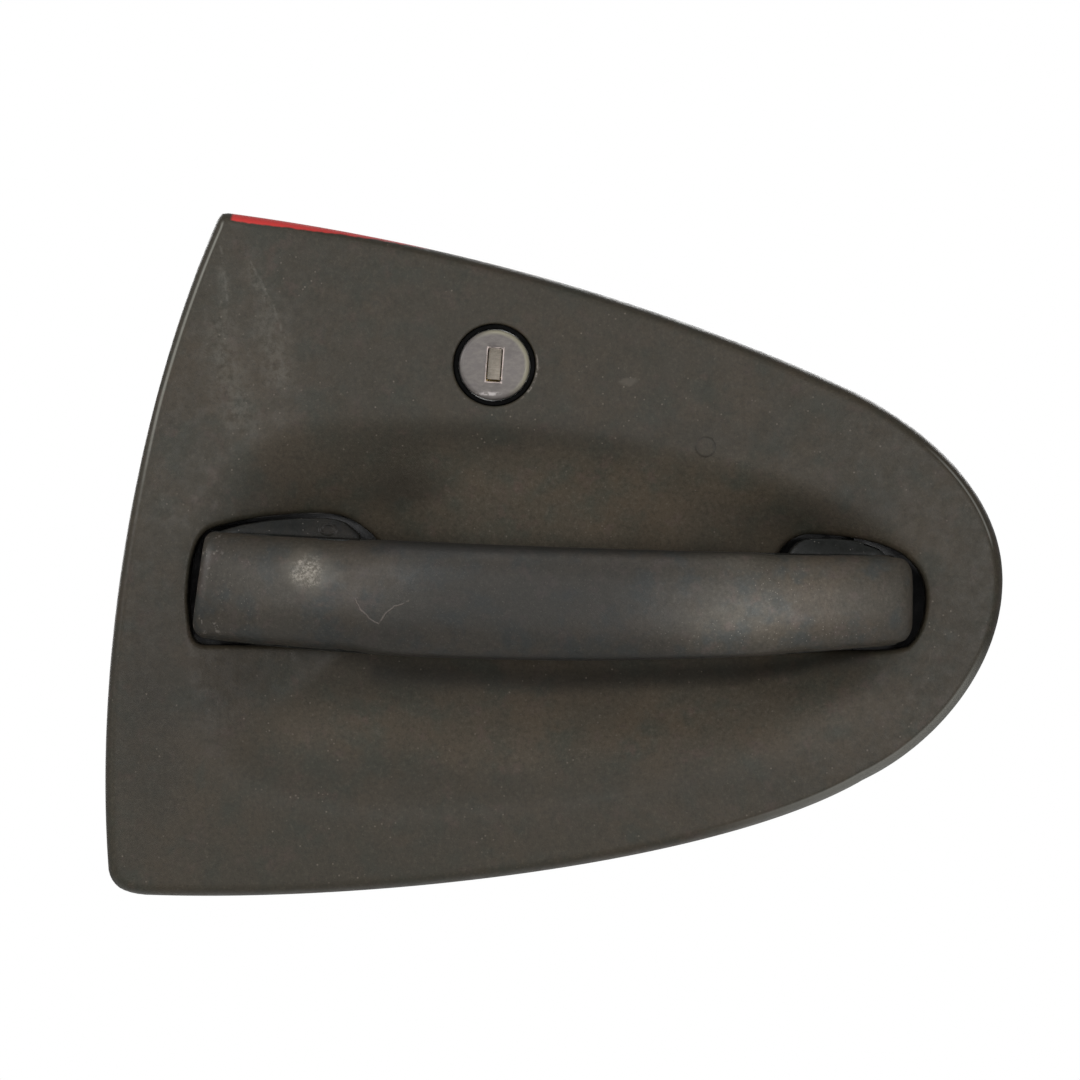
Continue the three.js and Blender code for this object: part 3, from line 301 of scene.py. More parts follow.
def carve(piece, cutter, operation="DIFFERENCE"):
    """Cuts a mesh with another and throws the cutter away."""
    cut = piece.modifiers.new("cut", "BOOLEAN")
    cut.object, cut.operation, cut.solver = cutter, operation, "EXACT"
    apply_modifiers(piece)
    bpy.data.objects.remove(cutter)
    tidy(piece)


def bevel(piece, width, angle=30):
    rounding = piece.modifiers.new("bevel", "BEVEL")
    rounding.width, rounding.segments = width * MM, 2
    rounding.limit_method, rounding.angle_limit = "ANGLE", math.radians(angle)
    rounding.use_clamp_overlap = True
    apply_modifiers(piece)
    tidy(piece, weld=1e-4)
    return piece


AXES = {
    "X": lambda u, v, w: (w, u, v),
    "Y": lambda u, v, w: (u, w, v),
    "Z": lambda u, v, w: (u, v, w),
}


def lathe(name, axis, centre, profile, sides=64, build=None):
    """Turns [radius, place] pairs about an axis through a centre.

    The profile closes on itself, unless it starts and ends on the axis.
    """
    builder = build or Builder()
    rings = []
    for r, a in profile:
        turn = np.arange(sides) / sides * 2 * math.pi
        ring = [AXES[axis](r * math.cos(t), r * math.sin(t), a) for t in turn]
        rings.append([tuple(c + o for c, o in zip(p, centre)) for p in ring])
    rows = builder.loft(rings, caps=False)
    if profile[0][0] > 0:
        builder.strip(rows[-1], rows[0])
    return builder.made(name) if build is None else builder


def round_profile(r, low, high, edge):
    """The profile of a disc or rod with rounded edges, closed along its axis."""
    arc = [(1 - math.cos(t), 1 - math.sin(t)) for t in np.linspace(0, math.pi / 2, 5)]
    start = [(r - edge * a, low + edge * b) for a, b in arc]
    end = [(r - edge * a, high - edge * b) for a, b in arc]
    return [(0, low), *reversed(start), *end, (0, high)]


def prism(name, axis, shape, low, high, edge=0.0):
    """A flat outline pushed along an axis, with bevelled edges."""
    builder = Builder()
    rings = [[AXES[axis](u, v, w) for u, v in shape] for w in (low, high)]
    builder.loft(rings)
    piece = builder.made(name)
    return bevel(piece, edge) if edge else piece


def loop_edges(loops):
    """The edges round several loops whose points are numbered in one run."""
    edges, start = [], 0
    for loop in loops:
        n = len(loop)
        edges += [(start + i, start + (i + 1) % n) for i in range(n)]
        start += n
    return edges


# ---------------------------------------------------------------- the panel


def skin(builder, boundary, holes, spacing, height, flip, extra=()):
    """Fills the space between a boundary and holes with small triangles at a given height."""
    loops = [boundary, *holes, *extra]
    low, high = boundary.min(0), boundary.max(0)
    rows = np.arange(low[1], high[1], spacing * 0.866)
    grid = []
    for i, z in enumerate(rows):
        xs = np.arange(low[0] + spacing * 0.5 * (i % 2), high[0], spacing)
        grid.append(np.c_[xs, np.full(len(xs), z)])
    grid = np.vstack(grid)
    keep = inside(grid, boundary)
    for loop in loops:
        keep &= distance(grid, loop) > spacing * 0.55
    for hole in holes:
        keep &= ~inside(grid, hole)
    points = np.vstack([*loops, grid[keep]])
    made = delaunay_2d_cdt([Vector(p) for p in points], loop_edges(loops), [], 1, 1e-5)
    flat = np.array([tuple(v) for v in made[0]])
    faces = np.array(made[2])
    centres = flat[faces].mean(axis=1)
    kept = np.ones(len(faces), bool)
    for hole in holes:
        kept &= ~inside(centres, hole)
    first = len(builder.points)
    builder.points += [(x, y, z) for (x, z), y in zip(flat, height(flat))]
    for face in faces[kept]:
        order = face[::-1] if flip else face
        builder.faces.append(tuple(int(i) + first for i in order))


def lifted(loop, y):
    y = np.broadcast_to(y, len(loop))
    return np.c_[loop[:, 0], y, loop[:, 1]]


def panel_back_y(points):
    return surface_y(points) + PANEL["wall"]


def panel_shell():
    builder = Builder()
    rings = []
    for turn in np.radians(np.linspace(0, 90, 12)):
        inset = PANEL["rim_width"] * (1 - max(math.cos(turn), 0) ** (2 / PANEL["rim_power"]))
        rise = math.sin(turn) ** (2 / PANEL["rim_power"])
        loop = inset_loop(inset)
        rings.append(lifted(loop, RIM_Y + rise * (front_y(loop) - RIM_Y)))
    flat = inset_loop(PANEL["flat"])
    rings.append(lifted(flat, front_y(flat)))
    builder.loft(rings, caps=False)
    inner_edge = inset_loop(PANEL["wall"])
    back = [rings[0], lifted(inner_edge, RIM_Y), lifted(flat, panel_back_y(flat))]
    builder.loft(back, caps=False)
    holes = [pull_hole, hinge_hole, lock_hole]
    lips = [offset(h, d) for h in holes for d in (0.12, 0.4, 0.8, 1.3)]
    skin(builder, flat, holes, 1.7, front_y, False, lips)
    tubes = [offset(pull_hole, SLEEVE_THICK), offset(hinge_hole, SLEEVE_THICK)]
    tubes.append(circle(LOCK["x"], LOCK["z"], LOCK["tube"], 72))
    skin(builder, flat, tubes, 4.0, panel_back_y, True)
    for hole, tube, depth in zip(holes, tubes, (PULL_SLEEVE_Y, HINGE_SLEEVE_Y)):
        end_in = np.maximum(panel_back_y(hole) + 0.02, depth)
        end_out = np.maximum(panel_back_y(tube) + 0.02, depth)
        walls = [lifted(hole, front_y(hole)), lifted(hole, end_in), lifted(tube, end_out)]
        builder.loft([*walls, lifted(tube, panel_back_y(tube))], caps=False)
    bore = circle(LOCK["x"], LOCK["z"], LOCK["bore"], 72)
    steps = [(holes[2], front_y(holes[2])), (holes[2], -4.8), (bore, -4.8), (bore, 5.7)]
    steps += [(tubes[2], 5.7), (tubes[2], panel_back_y(tubes[2]))]
    builder.loft([lifted(loop, y) for loop, y in steps], caps=False)
    return builder.made("panel_shell", 42)


PANEL_SCREWS = [(-104, -8), (-60, 62), (34, 46), (104, -4), (-104, -44)]
RIBS = [
    (-70, -68.6, -86, -66),
    (-30, -28.6, -86, -68),
    (10, 11.4, -84, -63),
    (48, 49.4, -76, -54),
    (-76, -74.6, 30, 84),
    (4, 5.4, 34, 70),
    (60, 61.4, 22, 52),
    (-114, -96, -27, -25.6),
]


def panel_ribs():
    """Stiffening ribs whose front edges follow the back of the panel."""
    builder = Builder()
    for x0, x1, z0, z1 in RIBS:
        along_z = z1 - z0 > x1 - x0
        n = 40
        t = np.linspace(0, 1, n)
        if along_z:
            path = np.c_[np.full(n, (x0 + x1) / 2), z0 + (z1 - z0) * t]
            side = np.array([(x1 - x0) / 2, 0])
        else:
            path = np.c_[x0 + (x1 - x0) * t, np.full(n, (z0 + z1) / 2)]
            side = np.array([0, (z1 - z0) / 2])
        fits = inside(path, outline_fine) & (distance(path, outline_fine) > PANEL["flat"] - 1)
        path, n = path[fits], int(fits.sum())
        top = panel_back_y(path) - 0.6
        end = np.maximum(np.full(n, -2.7), top + 0.5)
        rings = []
        for p, y0, y1 in zip(path, top, end):
            a, b = p - side, p + side
            draft = side * 0.25
            rings.append([
                (a[0], y0, a[1]),
                (b[0], y0, b[1]),
                (b[0] - draft[0], y1, b[1] - draft[1]),
                (a[0] + draft[0], y1, a[1] + draft[1]),
            ])
        builder.loft(rings)
    return builder.made("panel_ribs")


def panel_bosses():
    builder = Builder()
    for x, z in PANEL_SCREWS:
        start = float(panel_back_y(np.array([[x, z]]))[0]) - 0.8
        profile = [(1.6, 5.7), (3.3, 5.7), (3.6, 5.4), (3.9, start + 3), (4.8, start), (1.6, start)]
        lathe("", "Y", (x, 0, z), profile, 32, builder)
    return builder.made("panel_bosses")


# ---------------------------------------------------------------- the grip


def grip_front(x):
    return GRIP["end_y"] - GRIP["rise"] * (1 - np.minimum(1, abs(x / 94)) ** 2.6)


def grip_back(x):
    bar = grip_front(x) + GRIP["thick"]
    pull_foot = 1 - smoothstep(x, -56, -41)
    hinge_foot = smoothstep(x, 50, 63)
    return bar + (0 - bar) * pull_foot + (-1.5 - bar) * hinge_foot


GRIP_LENGTH = 185.0
END_ROUND = 3.4


def grip_stations():
    """Shares of the grip's length, close together at its rounded ends, and the drawing-in at each."""
    arc = np.linspace(0, math.pi / 2, 9)
    lead = END_ROUND * (1 - np.cos(arc)) / GRIP_LENGTH
    drawn = END_ROUND * (1 - np.sin(arc))
    middle = np.linspace(lead[-1], 1 - lead[-1], 90)[1:-1]
    shares = np.concatenate([lead, middle, 1 - lead[::-1]])
    draws = np.concatenate([drawn, np.zeros(len(middle)), drawn[::-1]])
    return list(zip(shares, draws))


def grip_ring(share, draw, inset=0.0, sides=72):
    """One section of the grip: a flattened superellipse, drawn in by a distance at the ends."""
    t = share
    basis = np.array([(1 - t) ** 3, 3 * t * (1 - t) ** 2, 3 * t * t * (1 - t), t**3])
    top = basis @ np.array(GRIP_TOP)
    bottom = basis @ np.array(GRIP_BOTTOM)
    middle = (top[1] + bottom[1]) / 2
    half = (top[1] - bottom[1]) / 2 - draw - inset
    x_mid = (top[0] + bottom[0]) / 2
    front = float(grip_front(x_mid)) + 0.7 * draw + inset
    back = float(grip_back(x_mid)) - draw
    depth = (back - front) / 2
    turn = (np.arange(sides) + 0.5) / sides * 2 * math.pi
    c, s = np.cos(turn), np.sin(turn)
    power = 2 / GRIP["power"]
    up = np.sign(s) * abs(s) ** power * half
    out = np.sign(c) * abs(c) ** power * depth
    x = bottom[0] + (top[0] - bottom[0]) * (up / half + 1) / 2
    return np.c_[x, front + depth + out, middle + up]


def parted(ring, behind_front, keep_front=True):
    """A section cut off flat at a distance behind its front, with no flange where it is wider beyond."""
    line = grip_front(ring[:, 0]) + behind_front
    past = (ring[:, 1] > line) == keep_front
    kept = ring[~past]
    for axis in (0, 2):
        ring[past, axis] = np.clip(ring[past, axis], kept[:, axis].min(), kept[:, axis].max())
    ring[past, 1] = grip_front(ring[past, 0]) + behind_front
    return ring


def grip_part(name, keep_front):
    """The grip's loft, kept in front of or behind the parting line."""
    builder = Builder()
    rings = []
    for share, draw in grip_stations():
        gap = 0 if keep_front else 0.25
        rings.append(parted(grip_ring(share, draw), GRIP["part"] + gap, keep_front))
    builder.loft(rings)
    return builder.made(name, 34)


def grip_cover():
    cover = grip_part("grip_cover_shell", True)
    builder = Builder()
    rings = []
    for share in np.linspace(0.035, 0.965, 40):
        rings.append(parted(grip_ring(share, 0, GRIP["wall"], 40), GRIP["part"] + 1.5))
    builder.loft(rings)
    carve(cover, builder.made("hollow"))
    carve(cover, hinge_end_sweep())
    return cover


PULL_ANGLE = 9.5  # degrees that the grip turns when it is pulled right out
SWEEP_Y = -14.6  # the grip's hinge end is trimmed behind this
HINGE = {"x": 74.0, "y": 8.0}


def pull_foot():
    shape = [(-88, -20.5), (-88, 4.8), (-86.9, 6), (-81, 7.6), (-73.5, 8.8), (-66, 9.35)]
    shape += [(-59, 9.3), (-56.6, 8.9), (-54.5, 8.2), (-50.5, 5), (-50.5, -20.5)]
    return prism("grip_foot", "Y", shape, -13, 0, 1.0)


def hinge_knuckle():
    profile = [(2.3, -19), (4.6, -19), (5, -18.6), (5, -3.4), (4.6, -3), (2.3, -3)]
    return lathe("grip_hinge_knuckle", "Z", (HINGE["x"], HINGE["y"], 0), profile, 48)


def hinge_foot():
    """The foot that fills the upper part of the hinge's opening."""
    shape = [(59, -4), (60.4, 0), (61.4, 1.5), (63, 3), (64.8, 3.8), (67, 4.1), (72, 4), (77, 3.6)]
    shape += [(80.6, 2.8), (84, 1.4), (86, -0.8), (87, -4)]
    return prism("grip_hinge_foot", "Y", shape, -13, -1.5, 0.7)


def hinge_end_sweep():
    """What the grip's hinge end must leave free, so that it stays in its opening as it is pulled."""
    x, y = HINGE["x"], HINGE["y"]
    room = prism("room", "Y", offset(hinge_hole, -0.6), -40, 40)
    centre = Matrix.Translation((x * MM, y * MM, 0))
    turn = Matrix.Rotation(-math.radians(PULL_ANGLE), 4, "Z")
    room.data.transform(centre @ turn @ centre.inverted())
    sweep = prism("sweep", "Y", [(x + 6, -40), (110, -40), (110, 20), (x + 6, 20)], SWEEP_Y, 10)
    carve(sweep, room)
    return sweep


def hinge_web():
    x, y = HINGE["x"], HINGE["y"]
    shape = [(x - 5, -6), (x + 5, -6), (x + 5, y - 1)]
    shape += [(x + 3, y - 3.4), (x - 3, y - 3.4), (x - 5, y - 1)]
    return prism("grip_hinge_web", "Z", shape, -19, -3, 0.5)


def grip_base():
    base = grip_part("grip_base_shell", False)
    for shell in (pull_foot(), hinge_foot()):
        carve(base, shell, "UNION")
    carve(base, hinge_end_sweep())
    for shell in (hinge_web(), hinge_knuckle()):
        carve(base, shell, "UNION")
    for x in GRIP_SCREWS:
        seat = [(1.9, -40), (1.9, -7), (3.9, -7), (3.9, 20)]
        carve(base, lathe("cut", "Y", (x, 0, GRIP_MIDDLE_Z), [(0, -40), *seat, (0, 20)], 32))
    half = ARM["width"] / 2 + 0.2
    socket = [(ARM["x"] - half, ARM["z0"] - 0.2), (ARM["x"] + half, ARM["z0"] - 0.2)]
    socket += [(ARM["x"] + half, ARM["z1"] + 0.2), (ARM["x"] - half, ARM["z1"] + 0.2)]
    carve(base, prism("cut", "Y", socket, -12, 5))
    base.name = "grip_base_shell"
    return base


# ---------------------------------------------------------------- small hardware

GRIP_SCREWS = [-57, 67]
GRIP_MIDDLE_Z = -10.5
ARM = {"x": -69.0, "width": 10.0, "z0": -16.0, "z1": -10.0}
STUDS = [(-84, 56), (76, 26), (-97, -60)]
CRANK = {"y": 20.0, "z": 24.0, "reach": 31.0, "lean": 22.7}
# The eyes of the latch rod and of the counterweight, from the crank's axis.
ROD_EYE = (21.0, 8.0)
WEIGHT_EYE = (1.0, 16.0)


def threaded(builder, centre, root, crest, low, high, pitch, sides=28):
    """A rod along Y with a helical thread, its ends tapered."""
    steps = max(8, round((high - low) / pitch * 8))
    turn = np.arange(sides) / sides * 2 * math.pi
    rings = []
    for a in np.linspace(low, high, steps):
        wave = (a / pitch - turn / (2 * math.pi)) % 1
        ridge = 1 - abs(wave - 0.5) * 2
        taper = min(1, (a - low) / pitch + 0.15, (high - a) / pitch + 0.15)
        r = (root + (crest - root) * ridge) * (0.86 + 0.14 * min(1, taper))
        x, z = centre[0] + r * np.cos(turn), centre[2] + r * np.sin(turn)
        rings.append(np.c_[x, np.full(sides, centre[1] + a), z])
    builder.loft(rings)


def screw(name, seat, head, thread, length):
    """A pan-head screw along Y with a six-lobed drive, pointing to -Y."""
    builder = Builder()
    turn = np.arange(72) / 72 * 2 * math.pi

    def ring(r, y, lobes=0.0):
        radius = r * (1 + lobes * np.cos(6 * turn))
        x, z = seat[0] + radius * np.cos(turn), seat[2] + radius * np.sin(turn)
        return np.c_[x, np.full(72, seat[1] + y), z]

    top = head * 0.66
    profile = [(thread * 0.8, 0), (head * 0.96, 0), (head, head * 0.06), (head, head * 0.24)]
    for t in (0.4, 0.8, 1.2):
        profile.append((head * (0.62 + 0.38 * math.cos(t)), head * (0.24 + 0.42 * math.sin(t))))
    rings = [ring(r, y) for r, y in profile]
    rings += [ring(head * 0.66, top), ring(head * 0.5, top, 0.13), ring(head * 0.47, top - 0.12, 0.13)]
    rings += [ring(head * 0.45, top - head * 0.42, 0.13), ring(head * 0.1, top - head * 0.5)]
    builder.loft(rings)
    threaded(builder, seat, thread * 0.74, thread, -length, 0.3, 1.15)
    return builder.made(name, 40)


def stud(name, x, z):
    builder = Builder()
    collar = [(0, 3.6), (6.1, 3.6), (6.4, 3.9), (6.4, 5.4), (6, 5.8), (3.9, 5.8), (3, 6.6), (0, 6.6)]
    lathe("", "Y", (x, 0, z), collar, 64, builder)
    threaded(builder, (x, 0, z), 2.5, 3.0, 6, 30, 1.0, 32)
    return builder.made(name, 40)


def open_ring(inner, outer, mouth, towards, count=40):
    """A retaining clip's outline with three inner prongs and a mouth."""
    start, end = math.radians(towards + mouth / 2), math.radians(towards - mouth / 2 + 360)
    around = np.linspace(start, end, count)
    out = [(outer * math.cos(t), outer * math.sin(t)) for t in around]
    prongs = []
    for t in around[::-1]:
        away = abs(((math.degrees(t) - towards - 180) + 60) % 120 - 60)
        r = inner + (outer - inner) * 0.38 * smoothstep(away, 14, 26)
        prongs.append((float(r) * math.cos(t), float(r) * math.sin(t)))
    return out + prongs


def lever_shape(ax, ay, ra, bx, by, rb, count=24):
    along = math.atan2(by - ay, bx - ax)
    side = math.acos((ra - rb) / math.hypot(bx - ax, by - ay))
    first = np.linspace(along + side, along - side + 2 * math.pi, count)
    second = np.linspace(along - side, along + side, count)
    points = [(ax + ra * math.cos(t), ay + ra * math.sin(t)) for t in first]
    return np.array(points + [(bx + rb * math.cos(t), by + rb * math.sin(t)) for t in second])


def plate(name, axis, edge, holes, low, high, rounding=0.25):
    """A flat plate with round or shaped holes and rounded edges."""
    builder = Builder()
    loops = [np.array(edge, float), *[np.array(h, float) for h in holes]]
    made = delaunay_2d_cdt([Vector(p) for p in np.vstack(loops)], loop_edges(loops), [], 1, 1e-6)
    flat = np.array([tuple(v) for v in made[0]])
    for face in made[2]:
        centre = flat[list(face)].mean(axis=0)[None, :]
        if any(inside(centre, h)[0] for h in loops[1:]):
            continue
        first = len(builder.points)
        for level in (low, high):
            builder.points += [AXES[axis](*flat[i], level) for i in face]
        n = len(face)
        builder.faces.append(tuple(range(first, first + n)))
        builder.faces.append(tuple(range(first + 2 * n - 1, first + n - 1, -1)))
    for loop in loops:
        rows = [builder.ring([AXES[axis](u, v, w) for u, v in loop]) for w in (low, high)]
        builder.strip(*rows)
    piece = builder.made(name)
    bm = bmesh.new()
    bm.from_mesh(piece.data)
    bmesh.ops.dissolve_limit(bm, angle_limit=0.01, verts=bm.verts, edges=bm.edges)
    bm.to_mesh(piece.data)
    bm.free()
    return bevel(piece, rounding, 40) if rounding else piece


def tube(name, points, radius, sides=12):
    """A round wire along points, with rounded ends."""
    points = np.array(points, float)
    along = np.gradient(points, axis=0)
    along /= np.linalg.norm(along, axis=1)[:, None]
    side = np.cross(along[0], (0.31, 0.52, 0.79))
    builder, rings = Builder(), []
    turn = np.arange(sides) / sides * 2 * math.pi
    for i, (p, t) in enumerate(zip(points, along)):
        side = side - t * (side @ t)
        side /= np.linalg.norm(side)
        up = np.cross(t, side)
        spread = radius * (np.cos(turn)[:, None] * side + np.sin(turn)[:, None] * up)
        if i == 0:
            rings += [p + spread * 0.6 - t * radius * 0.1]
        rings.append(p + spread)
    rings.append(points[-1] + spread * 0.6 + along[-1] * radius * 0.1)
    builder.loft(rings)
    return builder.made(name, 50)


def coil(place, radius, turns, start, first, last):
    """The centre line of a spring's wire, with straight leads from its first point and to its last."""
    count = round(turns * 36)
    points = []
    for i in range(count + 1):
        share = i / count
        turn = math.radians(start) + share * turns * 2 * math.pi
        points.append(place(radius * math.cos(turn), radius * math.sin(turn), share))
    lead_in = np.linspace(first, points[0], 8)[:-1]
    lead_out = np.linspace(points[-1], last, 8)[1:]
    return np.vstack([lead_in, points, lead_out])


def turned_about_lock(piece):
    """Gives a piece that is drawn about the lock's own axis its place and its tilt."""
    tilt = Matrix.Rotation(math.radians(LOCK["tilt"]), 4, "Y")
    piece.data.transform(Matrix.Translation((LOCK["x"] * MM, 0, LOCK["z"] * MM)) @ tilt)
    return piece


# ---------------------------------------------------------------- the lock


SLOT = (1.95, 4.35)  # half sizes of the key slot


def rounded_slot(half_x, half_z, corner, count=96):
    """A rounded rectangle with its points on rays, to match a circle of as many points."""
    points = []
    for t in (np.arange(count) + 0.5) / count * 2 * math.pi:
        c, s = math.cos(t), math.sin(t)
        power = 2 * half_x / corner
        r = (abs(c / half_x) ** power + abs(s / half_z) ** power) ** (-1 / power)
        points.append((r * c, r * s))
    return np.array(points)


def lock_face():
    """The dished metal face, with the key slot through it."""
    count = 96
    turn = (np.arange(count) + 0.5) / count * 2 * math.pi
    circle_unit = np.c_[np.cos(turn), np.sin(turn)]
    slot = rounded_slot(*SLOT, 0.26, count)
    chips = 0.06 * np.sin(turn * 23 + 1.3) + 0.05 * np.sin(turn * 41)

    def ring(xz, y):
        return np.c_[xz[:, 0], np.broadcast_to(y, count), xz[:, 1]]

    def dish(xz):
        r = np.hypot(xz[:, 0], xz[:, 1])
        return -11.75 - 0.35 * smoothstep(r, 3, 7.4)

    rings = [ring(slot, -10.9), ring(slot, dish(slot) + 0.55)]
    for grow, drop in ((0.03, 0.3), (0.1, 0.12), (0.24, 0.02)):
        edge = slot + circle_unit * (grow + chips[:, None] * (grow > 0.05))
        rings.append(ring(edge, dish(edge) + drop))
    for share in (0.25, 0.5, 0.75, 1.0):
        edge = (slot + circle_unit * 0.3) * (1 - share) + circle_unit * 7.6 * share
        rings.append(ring(edge, dish(edge)))
    rim = [(8.0, -12.16), (8.45, -12.05), (8.8, -11.82), (9.02, -11.5), (9.1, -11.1), (9.1, -8.2)]
    for r, y in (*rim, (8.3, -8.2), (8.3, -10.9)):
        rings.append(ring(circle_unit * r, y))
    builder = Builder()
    rows = builder.loft(rings, caps=False)
    builder.strip(rows[-1], rows[0])
    return turned_about_lock(builder.made("lock_face_disc", 40))


def shutter():
    """The dust shutter's flap and its hinge barrel."""
    edge = [(-1.75, -3.8), (1.75, -3.8), (1.75, 4.1), (-1.75, 4.1)]
    flap = plate("shutter_flap", "Y", edge, [], -10.45, -9.75, 0.15)
    barrel = round_profile(0.55, -1.75, 1.75, 0.1)
    carve(flap, lathe("barrel", "X", (0, -10, 4.2), barrel, 24), "UNION")
    flap.name = "key_shutter_flap"
    return turned_about_lock(flap)


HOUSING = [
    (7.7, -7.9), (10.1, -7.9), (10.4, -7.6), (10.4, -5.2), (10.2, -5), (9.6, -5),
    (9.6, 20.2), (9.5, 20.3), (8.8, 20.3), (8.8, 21.8), (9.5, 21.8), (9.6, 21.9),
    (9.6, 30.7), (9.3, 31), (8.0, 31), (7.7, 30.7),
]
SEAL = [
    (9.35, -8.1), (9.35, -10.2), (9.45, -10.5), (9.75, -10.6), (10.2, -10.6), (10.45, -10.45),
    (10.5, -10.1), (10.5, -9.4), (10.35, -9.25), (10.5, -9.1), (10.5, -8.3), (10.3, -8.1),
]


def cam():
    lever = lever_shape(0, 0, 7, 12, -15, 4.5)
    square = [(-2.8, -2.8), (2.8, -2.8), (2.8, 2.8), (-2.8, 2.8)]
    piece = plate("lock_cam_plate", "Y", lever, [circle(12, -15, 1.8, 32), square], 33.4, 35.8, 0.3)
    return turned_about_lock(piece)


def housing_clip():
    arc = [(9.1 * math.cos(t), 9.1 * math.sin(t)) for t in np.linspace(0, math.pi, 33)]
    edge = [(13.5, 15.5), (12.4, -7), (9.1, -7), *arc, (-9.1, -7), (-12.4, -7), (-13.5, 15.5)]
    edge = [(LOCK["x"] + x, LOCK["z"] + z) for x, z in edge]
    return plate("lock_housing_clip_plate", "Y", edge, [], 20.5, 21.6, 0.2)


# ---------------------------------------------------------------- finishes


class Finish:
    """One material's node tree, with short names for its nodes, and a colour laid on in layers."""

    def __init__(self, name, color, roughness, metallic=0.0, specular=0.5):
        self.material = bpy.data.materials.new(name)
        self.material.use_nodes = True
        self.tree = self.material.node_tree
        self.shader = self.tree.nodes["Principled BSDF"]
        self.color = color
        self.bumped = None
        values = (color, roughness, metallic, specular)
        for socket, value in zip(("Base Color", "Roughness", "Metallic", "Specular IOR Level"), values):
            self.set(self.shader.inputs[socket], value)
        self.place = self.node("TexCoord").outputs["Object"]

    def set(self, socket, value):
        if isinstance(value, bpy.types.NodeSocket):
            self.tree.links.new(value, socket)
        elif isinstance(value, tuple) and len(value) == 3 and socket.type == "RGBA":
            socket.default_value = (*value, 1)
        else:
            socket.default_value = value

    def node(self, kind, *values, settings=None, **named):
        """A node of a kind, with its settings, and values for its first inputs and for named ones."""
        node = self.tree.nodes.new("ShaderNode" + kind)
        for name, value in (settings or {}).items():
            setattr(node, name, value)
        for socket, value in zip(node.inputs, values):
            self.set(socket, value)
        for name, value in named.items():
            self.set(node.inputs[name], value)
        return node

    def math(self, operation, *values, clamp=False):
        settings = {"operation": operation, "use_clamp": clamp}
        return self.node("Math", *values, settings=settings).outputs[0]

    def less(self, a, b):
        return self.math("SUBTRACT", a, b)

    def most(self, *shares):
        return functools.reduce(lambda a, b: self.math("MAXIMUM", a, b), shares)

    def times(self, *shares):
        return functools.reduce(lambda a, b: self.math("MULTIPLY", a, b), shares)

    def fractal(self, **named):
        return self.node("TexNoise", settings={"noise_dimensions": "4D"}, **named).outputs

    def noise(self, scale, detail=2.0, roughness=0.5, seed=0.0, stretch=None):
        """Noise whose grain is about 1 / scale of a metre, stretched by an amount along each axis."""
        place = self.place
        if stretch:
            place = self.node("Mapping", Vector=place, Scale=stretch).outputs[0]
        return self.fractal(Vector=place, Scale=scale, Detail=detail, Roughness=roughness, W=seed)["Fac"]

    def span(self, value, low, high, to_low=0.0, to_high=1.0):
        """A value mapped from one range to another, smoothly and within its ends."""
        values = (value, low, high, to_low, to_high)
        node = self.node("MapRange", *values, settings={"interpolation_type": "SMOOTHSTEP"})
        return node.outputs["Result"]

    def ramp(self, value, low, high):
        """0 at one length and 1 at another, both in millimetres."""
        return self.span(value, low * MM, high * MM)

    def spots(self, low, high, *noise, **more):
        """Noise drawn out between two of its levels, into spots of 0 and 1."""
        return self.span(self.noise(*noise, **more), low, high)

    def specks(self, scale, edge, core):
        """1 at scattered points, and 0 away from them."""
        cells = self.node("TexVoronoi", Vector=self.place, Scale=scale)
        return self.span(cells.outputs["Distance"], edge, core)

    def vector(self, operation, *values, **named):
        node = self.node("VectorMath", *values, settings={"operation": operation}, **named)
        return node.outputs["Value" if operation in ("LENGTH", "DOT_PRODUCT", "DISTANCE") else "Vector"]

    def axis(self, name, place=None):
        return self.node("SeparateXYZ", place or self.place).outputs[name]

    def ragged(self, amount, scale, seed=7.0):
        """The place on the piece, pushed about by noise of an amount in millimetres."""
        noise = self.fractal(Vector=self.place, Scale=scale, Detail=4.0, W=seed)
        push = self.vector("SUBTRACT", noise["Color"], (0.5, 0.5, 0.5))
        return self.vector("ADD", self.place, self.vector("MULTIPLY", push, (amount * 2 * MM,) * 3))

    def line(self, a, b, width, soft, place=None):
        """1 on a straight mark between two (X, Z) points in millimetres, and 0 away from it."""
        flat = self.vector("MULTIPLY", place or self.place, (1, 0, 1))
        a, b = Vector((a[0], 0, a[1])) * MM, Vector((b[0], 0, b[1])) * MM
        along = b - a
        from_a = self.vector("SUBTRACT", flat, tuple(a))
        share = self.vector("DOT_PRODUCT", from_a, tuple(along / max(along.length_squared, 1e-12)))
        share = self.math("ADD", share, 0.0, clamp=True)
        away = self.vector("DISTANCE", from_a, self.vector("SCALE", tuple(along), Scale=share))
        return self.span(away, (width / 2 + soft) * MM, max(width / 2 - soft, 0) * MM)

    def path(self, points, width, soft, place=None):
        """1 along a bent mark through several (X, Z) points."""
        return self.most(*[self.line(a, b, width, soft, place) for a, b in zip(points, points[1:])])

    def patch(self, centre, size, soft, place=None):
        """1 in an upright ellipse at an (X, Z) point, fading out over a share of its size."""
        away = self.vector("SUBTRACT", place or self.place, (centre[0] * MM, 0, centre[1] * MM))
        away = self.vector("MULTIPLY", away, (1000 / size[0], 0, 1000 / size[1]))
        return self.span(self.vector("LENGTH", away), 1 + soft, 1 - soft)

    def facing(self, direction):
        """How far the surface faces a direction, from -1 to 1."""
        return self.vector("DOT_PRODUCT", self.node("NewGeometry").outputs["Normal"], direction)

    def lay(self, share, color, strength=None, blend="MIX"):
        """Lays a colour over the colour so far, by a share and a strength."""
        if strength:
            share = self.times(share, strength)
        node = self.node("Mix", share, settings={"data_type": "RGBA", "blend_type": blend})
        below, above = [s for s in node.inputs if s.type == "RGBA"]
        self.set(below, self.color)
        self.set(above, color)
        self.color = next(s for s in node.outputs if s.type == "RGBA")
        self.set(self.shader.inputs["Base Color"], self.color)

